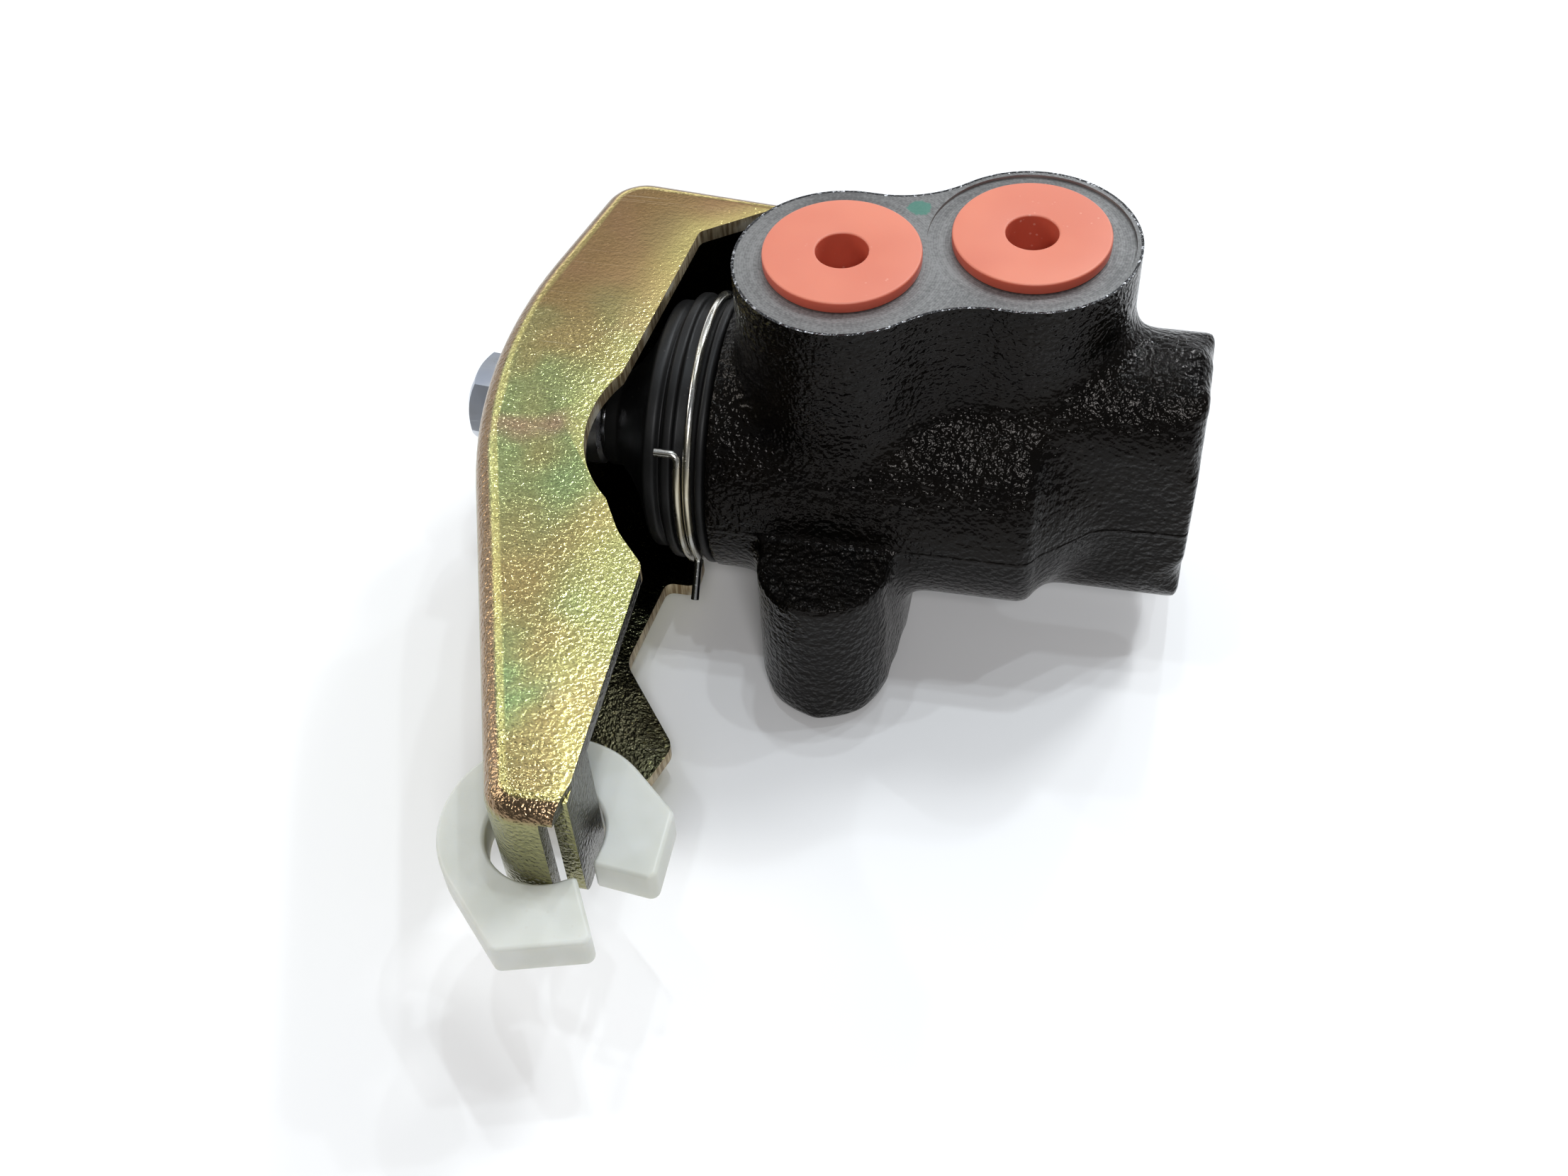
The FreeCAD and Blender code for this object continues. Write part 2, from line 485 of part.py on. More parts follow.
def return_spring():
    start = "entry_end_x + collar_gap + collar_thick + seat_thick + spring_wire + 0.5*seal_gap"
    body = new_body("return_spring", start, "axis_y", "axis_z")
    section = new_sketch(body, "spring_section", "XZ_Plane")
    hexagon(section, "spring_wire", "spring_flats", "spring_mean_radius")
    coil = body.newObject("PartDesign::AdditiveHelix", "spring_coil")
    coil.Profile = section
    coil.ReferenceAxis = (section, ["H_Axis"])
    coil.Mode = "height-turns-angle"
    coil.setExpression("Height", bound("spring_length"))
    coil.setExpression("Turns", bound("spring_turns"))
    return body


# Boot and its wire clip
def rubber_boot():
    """Ribbed boot: a thick bead on the spigot, two folds, and a cone to the plunger's neck."""
    start = "barrel_left_x - boot_grip"
    groove = "barrel_left_x - rib_one_width"
    two = groove + " - wire_groove_width"
    two_end = two + " - rib_two_width"
    inside = "spigot_radius + boot_grip"
    hole = "shaft_radius + slide_fit"
    return turned("rubber_boot", [
        (start, inside), (start, "rib_one_radius - boot_bead"), (start + " - boot_bead", "rib_one_radius"),
        (groove + " + boot_bead", "rib_one_radius"), (groove, "wire_groove_radius"),
        (two, "wire_groove_radius"), (two + " - 0.5*boot_bead", "rib_two_radius"),
        (two_end, "rib_two_radius"), ("fold_x", "fold_radius"),
        ("rib_three_x + boot_crest", "rib_three_radius"),
        ("rib_three_x - boot_crest", "rib_three_radius - boot_crest"),
        ("cone_x", "cone_radius"), ("neck_x", "neck_radius"), ("neck_end_x", "neck_radius"),
        ("neck_end_x", hole), ("neck_x + boot_wall", hole),
        ("cone_x + boot_wall", "cone_radius - boot_wall"),
        ("fold_x - boot_wall", "fold_radius - boot_wall - boot_bead"),
        ("spigot_left_x - boot_grip", "fold_radius - boot_wall"),
        ("spigot_left_x - boot_grip", inside)])


def boot_clip():
    """Wire wound a turn and a bit, with one end bent out and the other bent away from the body."""
    body = new_body("boot_clip", "clip_x", "axis_y", "axis_z")
    body.Placement = Placement(body.Placement.Base, Rotation(Vector(1, 0, 0), amount("clip_start")))
    section = new_sketch(body, "clip_section", "XY_Plane")
    hexagon(section, "clip_wire", "clip_flats", "clip_ring_radius")
    ring = body.newObject("PartDesign::AdditiveHelix", "clip_ring")
    ring.Profile = section
    ring.ReferenceAxis = (section, ["H_Axis"])
    ring.Mode = "pitch-height-angle"
    ring.Reversed = True
    ring.LeftHanded = False
    ring.setExpression("Pitch", bound("clip_pitch"))
    ring.setExpression("Height", bound("clip_length"))
    tail = new_sketch(body, "clip_tail_outline", "YZ_Plane")
    path = [tail.addGeometry(Part.LineSegment(*[Vector(amount(y), amount(z), 0) for y, z in ends]))
            for ends in ((("clip_ring_radius", "0"), ("clip_ring_radius", "clip_bend")),
                         (("clip_ring_radius", "clip_bend"), ("clip_tail_y", "clip_tail_z")))]
    tail.addConstraint(Sketcher.Constraint("Coincident", path[0], 2, path[1], 1))
    fix_point(tail, path[0], 1, "clip_ring_radius", "0")
    fix_point(tail, path[0], 2, "clip_ring_radius", "clip_bend")
    fix_point(tail, path[1], 2, "clip_tail_y", "clip_tail_z")
    pipe = body.newObject("PartDesign::AdditivePipe", "clip_tail")
    pipe.Profile = section
    pipe.Spine = tail
    pipe.Transition = "Round corner"
    return body


# Lever
def lever():
    body = new_body("lever")
    height = "lever_high_z - lever_low_z"
    block = new_sketch(body, "lever_block_outline", "XY_Plane", out="lever_low_z")
    belt(block, [("web_end_x", "corner_y", "0"), ("web_end_x", "pivot_y + eye_radius + eye_rise", "0"),
                 ("corner_x", "corner_y", "corner_radius"),
                 ("back_left_x + back_radius", "back_y", "back_radius"),
                 ("nose_x", "nose_y", "nose_round"), ("web_end_x", "nose_y - nose_round", "0")])
    extrude(body, "Pad", "lever_block", block, height)

    def on_fold(edge):
        middle = edge.valueAt((edge.FirstParameter + edge.LastParameter) / 2)
        flat = near(edge.BoundBox.ZLength, "0") and (
            near(middle.z, "lever_low_z") or near(middle.z, "lever_high_z"))
        return flat and edge.Curve.TypeId == "Part::GeomCircle" and near(edge.Curve.Radius, "back_radius")

    soften(body, "lever_folds", on_fold, "fold_outer")
    hollow = new_sketch(body, "lever_hollow_outline", "XY_Plane", out="lever_low_z + sheet")
    belt(hollow, [("0", "corner_y", "0"), ("0", "port_face_z", "0"), ("web_end_x", "port_face_z", "0"),
                  ("web_end_x", "pivot_y + eye_radius + eye_rise - sheet", "0"),
                  ("corner_x", "corner_y", "corner_radius - sheet"),
                  ("back_left_x + back_radius", "back_y", "back_radius - sheet"),
                  ("nose_x", "nose_y", "nose_round - sheet"),
                  ("nose_slit_x", "nose_y - nose_round + sheet", "0"),
                  ("nose_slit_x", "nose_y - 2*nose_round", "0"), ("0", "nose_y - 2*nose_round", "0")])
    extrude(body, "Pocket", "lever_hollow", hollow, height + " - 2*sheet", back=True)
    far_end = "nose_y - 2*nose_round"
    edge_start = [("0", far_end, "0"), ("0", "cusp_y + cusp_round", "0"),
                  ("cusp_x", "cusp_y", "cusp_round"), ("notch_x", "notch_y", "notch_round")]
    upper = new_sketch(body, "upper_flange_edge", "XY_Plane", out="lever_high_z")
    belt(upper, edge_start + [
        ("waist_x", "waist_y", "waist_round"), ("flare_x", "flare_y", "flare_round"),
        ("elbow_x", "elbow_y", "- elbow_round"), ("lap_x", "lap_y", "- lap_round"),
        ("lap_end_x", far_end, "0")])
    extrude(body, "Pocket", "upper_flange_cut", upper, "sheet")
    lower = new_sketch(body, "lower_flange_edge", "XY_Plane", out="lever_low_z")
    belt(lower, edge_start + [
        ("tongue_high_root_x + tongue_round", "tongue_high_y + tongue_round", "tongue_round"),
        ("tongue_x - tongue_round", "tongue_high_y - tongue_round", "- tongue_round"),
        ("tongue_x - tongue_round", "tongue_low_y + tongue_round", "- tongue_round"),
        ("tongue_low_root_x + tongue_round", "tongue_low_y - tongue_round", "tongue_round"),
        ("low_waist_x", "low_waist_y", "low_waist_round"),
        ("low_elbow_x", "low_elbow_y", "- low_elbow_round"),
        ("foot_x - foot_round", "foot_y + foot_round", "- foot_round"),
        ("nose_x - cut_reach", "foot_y", "0"), ("nose_x - cut_reach", far_end, "0")])
    extrude(body, "Pocket", "lower_flange_cut", lower, "sheet", back=True)
    step = "bush_low_z + bush_thick + bush_lift"
    side = new_sketch(body, "web_lower_edge", "YZ_Plane")
    belt(side, [(far_end, "0", "0"), ("foot_y", "0", "0"), ("foot_y", "lever_low_z", "0"),
                ("shoulder_y - shoulder_round", step + " - shoulder_round", "shoulder_round"),
                ("post_y", step, "0"), ("post_y", "post_low_z", "0"), (far_end, "post_low_z", "0")])
    extrude(body, "Pocket", "web_lower_cut", side, "cut_reach", middle=True)
    for name, low in (("upper_eye", "lever_high_z - sheet"), ("lower_eye", "lever_low_z")):
        eye = new_sketch(body, f"{name}_outline", "XY_Plane", out=low)
        belt(eye, [("pivot_x", "pivot_y", "eye_radius"),
                   ("web_end_x - eye_arm", "pivot_y + eye_radius - 0.5*eye_rise", "0"),
                   ("web_end_x - eye_arm", "cusp_y + eye_rise", "0")])
        extrude(body, "Pad", name, eye, "sheet")
    holes = new_sketch(body, "eye_hole_outline", "XY_Plane")
    circle(holes, "pivot_x", "pivot_y", "pin_radius + bush_fit + bush_wall + bush_fit")
    extrude(body, "Pocket", "eye_holes", holes, "port_face_z", back=True)
    screw = new_sketch(body, "screw_hole_outline", "YZ_Plane", "axis_y", "axis_z", "web_x")
    screw.AttachmentOffset = Placement(screw.AttachmentOffset.Base, Rotation(Vector(0, -1, 0), worked.lean))
    screw.setExpression("AttachmentOffset.Rotation.Angle", "Worked.lean")
    circle(screw, "0", "0", "screw_radius + screw_hole_fit")
    extrude(body, "Pocket", "screw_hole", screw, "corner_radius + nose_round", middle=True)
    tab = new_sketch(body, "tab_outline", "XY_Plane", out="post_low_z")
    belt(tab, [("tab_x - sheet", "tab_low_y", "0"), ("tab_x", "tab_low_y", "0"),
               ("tab_x", "tab_high_y", "0"), ("tab_x - sheet", "tab_high_y", "0")])
    extrude(body, "Pad", "nose_tab", tab, "lever_high_z - post_low_z - 0.5*sheet")
    soften(body, "nose_tab_round", lambda edge: at_height(edge, "post_low_z")
           and near(edge.BoundBox.XMax, "tab_x") and near(edge.BoundBox.YLength, "0"), "tab_round")
    return body


# Pivot pin, its bushes and clip
def pivot_parts():
    groove_high = "lever_low_z - slide_fit - bush_collar_thick - clip_play"
    groove_low = groove_high + " - clip_thick - ring_play"
    head = "lever_high_z + slide_fit + bush_collar_thick + clip_play"
    upright("pivot_pin", [
        ("0", "pin_end_z"), ("pin_radius - 0.5*pin_head_thick", "pin_end_z"),
        ("pin_radius", "pin_end_z + 0.5*pin_head_thick"), ("pin_radius", groove_low),
        ("clip_neck_radius", groove_low), ("clip_neck_radius", groove_high + " + ring_play"),
        ("pin_radius", groove_high + " + ring_play"), ("pin_radius", head), ("pin_head_radius", head),
        ("pin_head_radius", head + " + 0.5*pin_head_thick"),
        ("pin_head_radius - 0.5*pin_head_thick", head + " + pin_head_thick"),
        ("0", head + " + pin_head_thick")], "pivot_x", "pivot_y", "0")
    hole = "pin_radius + bush_fit"
    upright("pivot_bush_upper", [
        (hole, "- sheet"), (hole + " + bush_wall", "- sheet"), (hole + " + bush_wall", "slide_fit"),
        ("bush_collar_radius", "slide_fit"), ("bush_collar_radius", "slide_fit + bush_collar_thick"),
        (hole, "slide_fit + bush_collar_thick")], "pivot_x", "pivot_y", "lever_high_z")
    upright("pivot_bush_lower", [
        (hole, "- slide_fit - bush_collar_thick"),
        ("bush_collar_radius", "- slide_fit - bush_collar_thick"),
        ("bush_collar_radius", "- slide_fit"), (hole + " + bush_wall", "- slide_fit"),
        (hole + " + bush_wall", "sheet"), (hole, "sheet")], "pivot_x", "pivot_y", "lever_low_z")
    body = new_body("pivot_clip", "pivot_x", "pivot_y", groove_high + " - clip_thick")
    outline = new_sketch(body, "pivot_clip_outline", "XY_Plane")
    open_ring(outline, "clip_outer_radius", "clip_band", "clip_opening")
    extrude(body, "Pad", "pivot_clip_plate", outline, "clip_thick")


# Adjuster, in a frame whose X is square to the lever's web and whose origin is on its outer face
def lean_over(body):
    body.Placement = Placement(body.Placement.Base, Rotation(Vector(0, 0, -1), worked.lean))
    body.setExpression("Placement.Rotation.Angle", "Worked.lean")
    return body


def adjuster():
    cap_end = "- cap_seat - cap_height"
    nut_start = cap_end + " - nut_seat"
    nut_end = nut_start + " - nut_height"
    tip = "screw_reach"
    end = nut_end + " - screw_proud"
    screw = lean_over(turned("adjusting_screw", [
        (end, "0"), (tip, "0"), (tip, "screw_radius - screw_dome"),
        (tip + " - screw_dome", "screw_radius"), (end + " + screw_bevel", "screw_radius"),
        (end, "screw_radius - screw_bevel")], "web_x"))
    key = new_sketch(screw, "key_outline", "YZ_Plane", out=end)
    hexagon(key, "key_corner", "hex_key")
    extrude(screw, "Pocket", "key_socket", key, "hex_key_depth", back=True)
    hole = "screw_radius + slide_fit"
    lean_over(turned("adjuster_cap", [
        (cap_end, hole), ("- cap_seat", hole), ("- cap_seat", "cap_radius"),
        ("- cap_seat - cap_rim", "cap_radius"), (cap_end, "cap_crown")], "web_x"))
    nut = lean_over(new_body("lock_nut", "web_x", "axis_y", "axis_z"))
    outline = new_sketch(nut, "nut_outline", "YZ_Plane", out=nut_start)
    hexagon(outline, "nut_corner", "nut_flats")
    circle(outline, "0", "0", hole)
    extrude(nut, "Pad", "nut_block", outline, "nut_height", back=True)
    bevel = new_sketch(nut, "nut_bevel_outline", "XZ_Plane")
    belt(bevel, [(nut_end, "0.5*nut_flats", "0"),
                 (nut_end + " + 2*nut_bevel", "nut_corner + nut_bevel", "0"),
                 (nut_end, "nut_corner + nut_bevel", "0")])
    turn(nut, "Groove", "nut_bevel", bevel)


# Nose bush
def nose_bush():
    body = new_body("nose_bush", z="bush_low_z")
    outline = new_sketch(body, "nose_bush_outline", "XY_Plane")
    belt(outline, [
        ("bush_body_x", "bush_body_y", "bush_body_radius"), ("bush_heel_x", "bush_heel_y", "bush_corner"),
        ("bush_toe_x", "bush_toe_y", "bush_corner"), ("bush_mouth_low_x", "bush_mouth_low_y", "bush_lip"),
        ("bush_hole_x", "bush_hole_y", "- bush_hole_radius"),
        ("bush_mouth_high_x", "bush_mouth_high_y", "bush_lip"),
        ("bush_prong_x", "bush_prong_low_y", "bush_corner"),
        ("bush_prong_x", "bush_prong_high_y", "bush_corner")])
    extrude(body, "Pad", "nose_bush_ring", outline, "bush_thick")
    soften(body, "nose_bush_edges", lambda edge: near(edge.BoundBox.ZLength, "0"), "bush_edge", "Chamfer")


def check():
    """Stop with a plain message where a feature failed or a piece isn't a sound solid."""
    for item in doc.Objects:
        if "Invalid" in item.State or "Error" in item.State:
            raise RuntimeError(f"{item.Name} failed: {item.State}")
    for piece in pieces():
        if piece.Shape.isNull() or not piece.Shape.isValid():
            raise RuntimeError(f"{piece.Label} is not a sound solid")


def pieces():
    return [item for item in doc.Objects if item.TypeId == "PartDesign::Body"]


valve_body()
port_plug("inlet_plug", "-", "port_face_z + plug_seat")
port_plug("outlet_plug", "+", "port_face_z - spot_depth + plug_seat")
plunger_train()
guide_parts()
return_spring()
rubber_boot()
boot_clip()
lever()
pivot_parts()
adjuster()
nose_bush()
doc.recompute()
check()
os.makedirs("parts", exist_ok=True)
for piece in pieces():
    piece.Shape.exportStep(f"parts/{piece.Label}.step")
    print(piece.Label, len(piece.Shape.Solids), round(piece.Shape.Volume, 1))
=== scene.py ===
# Looks of a load-sensing brake proportioning valve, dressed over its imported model.
# Lengths in the dictionaries are millimetres; the helpers turn them into metres.
import math

import bmesh
import bpy
from mathutils import Matrix, Vector


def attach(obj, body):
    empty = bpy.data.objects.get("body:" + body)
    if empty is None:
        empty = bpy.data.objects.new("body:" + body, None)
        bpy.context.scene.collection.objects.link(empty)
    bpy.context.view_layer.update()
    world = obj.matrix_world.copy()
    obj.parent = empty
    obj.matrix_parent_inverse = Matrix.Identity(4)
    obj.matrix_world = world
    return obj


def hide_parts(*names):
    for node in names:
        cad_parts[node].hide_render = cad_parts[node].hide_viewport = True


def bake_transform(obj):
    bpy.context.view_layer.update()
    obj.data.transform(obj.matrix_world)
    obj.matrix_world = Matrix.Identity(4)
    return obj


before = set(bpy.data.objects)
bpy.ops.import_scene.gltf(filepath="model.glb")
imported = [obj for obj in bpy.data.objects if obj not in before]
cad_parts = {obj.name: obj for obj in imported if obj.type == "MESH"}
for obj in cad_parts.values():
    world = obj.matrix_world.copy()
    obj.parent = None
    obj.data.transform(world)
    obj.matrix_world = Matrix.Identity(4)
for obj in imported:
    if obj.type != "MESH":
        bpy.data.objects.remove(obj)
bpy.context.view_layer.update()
mm = 0.001
print("frame loaded:", len(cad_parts), "nodes")


def point(x, y, z=0.0):
    return Vector((x, y, z)) * mm


def finishPiece(name, bm, materials, body, replaced=None, sharp=35):
    # turns a bmesh into a finished object that rides on its body; without a body name it only has its
    # transform baked
    bmesh.ops.recalc_face_normals(bm, faces=bm.faces)
    mesh = bpy.data.meshes.new(name)
    bm.to_mesh(mesh)
    bm.free()
    for material in materials:
        mesh.materials.append(material)
    mesh.shade_smooth()
    mesh.set_sharp_from_angle(angle=math.radians(sharp))
    piece = bpy.data.objects.new(name, mesh)
    bpy.context.scene.collection.objects.link(piece)
    if isinstance(body, str):
        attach(piece, body)
    else:
        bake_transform(piece)
    if replaced:
        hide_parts(replaced)
    return piece


def drawOutline(bm, start, moves):
    # pen in the XY plane: a pair is a straight run to a point,
    # a triple is an arc (centre x, centre y, degrees)
    pen = first = bm.verts.new(point(*start))
    for move in moves:
        if len(move) == 2:
            after = bm.verts.new(point(*move))
            bm.edges.new((pen, after))
            pen = after
            continue
        x, y, degrees = move
        turned = bmesh.ops.spin(bm, geom=[pen], cent=point(x, y), axis=(0, 0, 1),
                                angle=math.radians(degrees), steps=max(2, round(abs(degrees) / 4)))
        pen = [item for item in turned["geom_last"] if isinstance(item, bmesh.types.BMVert)][0]
    if (pen.co - first.co).length > 0.01 * mm:
        bm.edges.new((pen, first))
    bmesh.ops.remove_doubles(bm, verts=bm.verts, dist=0.005 * mm)


def prism(start, moves, low, high, matrix=None):
    # closed outline, filled and extruded from low to high along Z, then placed
    bm = bmesh.new()
    drawOutline(bm, start, moves)
    bmesh.ops.contextual_create(bm, geom=bm.edges)
    bmesh.ops.translate(bm, verts=bm.verts, vec=point(0, 0, low))
    grown = bmesh.ops.extrude_face_region(bm, geom=bm.faces)
    top = [item for item in grown["geom"] if isinstance(item, bmesh.types.BMVert)]
    bmesh.ops.translate(bm, verts=top, vec=point(0, 0, high - low))
    if matrix:
        bmesh.ops.transform(bm, matrix=matrix, verts=bm.verts)
    bmesh.ops.recalc_face_normals(bm, faces=bm.faces)
    return bm


def spun(profile, centre, axis, steps=96):
    # (along, radius) points turned a full circle about an axis through the centre
    along = Vector(axis)
    side = Vector((0, 0, 1)) if abs(along.z) < 0.5 else Vector((1, 0, 0))
    bm = bmesh.new()
    chain = [bm.verts.new(point(*centre) + (along * step + side * radius) * mm) for step, radius in profile]
    for first, second in zip(chain, chain[1:]):
        bm.edges.new((first, second))
    if profile[0][1] > 0 or profile[-1][1] > 0:
        bm.edges.new((chain[-1], chain[0]))
    bmesh.ops.spin(bm, geom=bm.verts[:] + bm.edges[:], cent=point(*centre), axis=along,
                   angle=math.tau, steps=steps, use_merge=True)
    bmesh.ops.remove_doubles(bm, verts=bm.verts, dist=0.002 * mm)
    bmesh.ops.recalc_face_normals(bm, faces=bm.faces)
    return bm


def addTo(target, source):
    # pours one bmesh into another
    holder = bpy.data.meshes.new("holder")
    source.to_mesh(holder)
    source.free()
    target.from_mesh(holder)
    bpy.data.meshes.remove(holder)


def bevelSharp(bm, width, angle=30, segments=3):
    edges = [edge for edge in bm.edges if len(edge.link_faces) == 2
             and edge.calc_face_angle() > math.radians(angle)]
    bmesh.ops.bevel(bm, geom=edges, offset=width * mm, offset_type="OFFSET", affect="EDGES",
                    segments=segments, profile=0.5, material=-1, clamp_overlap=True)


def cleanCopy(node):
    # merged copy of a CAD node with its flat faces made whole again
    bm = bmesh.new()
    bm.from_mesh(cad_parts[node].data)
    bmesh.ops.remove_doubles(bm, verts=bm.verts, dist=0.002 * mm)
    bmesh.ops.dissolve_limit(bm, angle_limit=math.radians(0.6), verts=bm.verts, edges=bm.edges)
    return bm


# Shader helpers
def newGroup(name, inputs, outputs):
    # inputs are (name, kind, default), outputs are (name, kind)
    tree = bpy.data.node_groups.new(name, "ShaderNodeTree")
    for label, kind, value in inputs:
        socket = tree.interface.new_socket(label, in_out="INPUT", socket_type=f"NodeSocket{kind}")
        if value is not None:
            socket.default_value = value
    for label, kind in outputs:
        tree.interface.new_socket(label, in_out="OUTPUT", socket_type=f"NodeSocket{kind}")
    return tree, tree.nodes.new("NodeGroupInput"), tree.nodes.new("NodeGroupOutput")


def addNode(tree, kind, settings=None, **values):
    # values go to inputs by name, with underscores for blanks; a socket is linked, anything else is set
    node = tree.nodes.new(f"ShaderNode{kind}")
    for key, value in (settings or {}).items():
        setattr(node, key, value)
    for key, value in values.items():
        label = key.replace("_", " ")
        socket = node.inputs[int(key[1:])] if key[1:].isdigit() else node.inputs[label]
        if isinstance(value, bpy.types.NodeSocket):
            tree.links.new(value, socket)
        else:
            socket.default_value = value
    return node


def calc(tree, operation, first, second=0.0):
    return addNode(tree, "Math", {"operation": operation}, i0=first, i1=second).outputs[0]


def mapRange(tree, value, low, high, toLow=0.0, toHigh=1.0):
    node = addNode(tree, "MapRange", {"interpolation_type": "SMOOTHSTEP"}, Value=value, From_Min=low,
                   From_Max=high, To_Min=toLow, To_Max=toHigh)
    return node.outputs["Result"]


def mixColor(tree, factor, first, second, blend="MIX"):
    node = addNode(tree, "Mix", {"data_type": "RGBA", "blend_type": blend}, i0=factor, i6=first, i7=second)
    return node.outputs[2]


def ramp(tree, value, *stops):
    # stops are (place, colour)
    node = addNode(tree, "ValToRGB", None, Fac=value)
    elements = node.color_ramp.elements
    elements[0].position, elements[0].color = stops[0]
    elements[1].position, elements[1].color = stops[-1]
    for place, color in stops[1:-1]:
        elements.new(place).color = color
    return node.outputs["Color"]


def useGroup(tree, group, **values):
    node = tree.nodes.new("ShaderNodeGroup")
    node.node_tree = group
    for key, value in values.items():
        socket = node.inputs[key.replace("_", " ")]
        if isinstance(value, bpy.types.NodeSocket):
            tree.links.new(value, socket)
        else:
            socket.default_value = value
    return node.outputs


def newMaterial(name, **sockets):
    # Principled material; values are set on its own sockets
    material = bpy.data.materials.new(name)
    material.use_nodes = True
    tree = material.node_tree
    surface = tree.nodes["Principled BSDF"]
    for key, value in sockets.items():
        surface.inputs[key.replace("_", " ")].default_value = value
    return material, tree, surface, tree.nodes.new("ShaderNodeTexCoord").outputs["Object"]


def linkSurface(tree, surface, height=None, strength=1.0, **sockets):
    for key, value in sockets.items():
        tree.links.new(value, surface.inputs[key.replace("_", " ")])
    if height is not None:
        bump = addNode(tree, "Bump", None, Strength=strength, Distance=mm, Height=height)
        tree.links.new(bump.outputs["Normal"], surface.inputs["Normal"])


# Shared effects
def makeGrain():
    # soft pebbled skin: broad waves, pebbles of one size and fine tooth, as one height in millimetres
    tree, start, end = newGroup("skinGrain", [
        ("Vector", "Vector", None), ("Pebble", "Float", 900.0), ("Pebble Height", "Float", 0.1),
        ("Wave", "Float", 90.0), ("Wave Height", "Float", 0.2), ("Tooth", "Float", 3000.0),
        ("Tooth Height", "Float", 0.02)], [("Height", "Float"), ("Pits", "Float"), ("Cloud", "Float")])
    total = 0.0
    outs = {}
    for label, detail in (("Pebble", 1.5), ("Wave", 2.0), ("Tooth", 2.0)):
        noise = addNode(tree, "TexNoise", None, Vector=start.outputs["Vector"],
                        Scale=start.outputs[label], Detail=detail, Roughness=0.5)
        outs[label] = noise.outputs["Fac"]
        part = calc(tree, "MULTIPLY", noise.outputs["Fac"], start.outputs[f"{label} Height"])
        total = calc(tree, "ADD", part, total)
    tree.links.new(total, end.inputs["Height"])
    tree.links.new(mapRange(tree, outs["Pebble"], 0.42, 0.3), end.inputs["Pits"])
    tree.links.new(outs["Wave"], end.inputs["Cloud"])
    return tree


def makeDust():
    # pale specks and a thin film that lies on faces that look up
    tree, start, end = newGroup("dustLayer", [
        ("Vector", "Vector", None), ("Color", "Color", (0, 0, 0, 1)), ("Dust", "Color", (0.4, 0.37, 0.32, 1)),
        ("Specks", "Float", 0.5), ("Film", "Float", 0.1), ("Scale", "Float", 900.0),
        ("Roughness", "Float", 0.4)], [("Color", "Color"), ("Roughness", "Float"), ("Mask", "Float")])
    cells = addNode(tree, "TexVoronoi", {"feature": "F1"}, Vector=start.outputs["Vector"],
                    Scale=start.outputs["Scale"], Randomness=1.0)
    patch = addNode(tree, "TexNoise", None, Vector=start.outputs["Vector"], Scale=70.0, Detail=3.0)
    near = mapRange(tree, cells.outputs["Distance"], 0.16, 0.08)
    where = mapRange(tree, patch.outputs["Fac"], 0.52, 0.68)
    specks = calc(tree, "MULTIPLY", calc(tree, "MULTIPLY", near, where), start.outputs["Specks"])
    normal = addNode(tree, "NewGeometry").outputs["Normal"]
    up = addNode(tree, "SeparateXYZ", None, Vector=normal).outputs["Z"]
    film = calc(tree, "MULTIPLY", mapRange(tree, up, 0.2, 1.0), start.outputs["Film"])
    film = calc(tree, "MULTIPLY", film, patch.outputs["Fac"])
    mask = calc(tree, "MAXIMUM", specks, film)
    tree.links.new(mixColor(tree, mask, start.outputs["Color"], start.outputs["Dust"]), end.inputs["Color"])
    rough = calc(tree, "ADD", start.outputs["Roughness"], calc(tree, "MULTIPLY", mask, 0.35))
    tree.links.new(rough, end.inputs["Roughness"])
    tree.links.new(mask, end.inputs["Mask"])
    return tree


def makeTurning():
    # fine rings left by a cutting tool round the Z axis of the vector
    tree, start, end = newGroup("turningMarks", [
        ("Vector", "Vector", None), ("Pitch", "Float", 0.25), ("Height", "Float", 0.01)],
        [("Height", "Float"), ("Tone", "Float")])
    parts = addNode(tree, "SeparateXYZ", None, Vector=start.outputs["Vector"]).outputs
    flat = addNode(tree, "CombineXYZ", None, X=parts["X"], Y=parts["Y"]).outputs["Vector"]
    radius = addNode(tree, "VectorMath", {"operation": "LENGTH"}, i0=flat).outputs["Value"]
    turns = calc(tree, "DIVIDE", calc(tree, "MULTIPLY", radius, 1000.0), start.outputs["Pitch"])
    wobble = addNode(tree, "TexNoise", {"noise_dimensions": "1D"}, W=turns, Scale=0.37, Detail=3.0)
    wave = calc(tree, "SINE", calc(tree, "MULTIPLY", turns, math.tau))
    tone = calc(tree, "ADD", calc(tree, "MULTIPLY", wave, 0.25), wobble.outputs["Fac"])
    tree.links.new(tone, end.inputs["Tone"])
    tree.links.new(calc(tree, "MULTIPLY", tone, start.outputs["Height"]), end.inputs["Height"])
    return tree


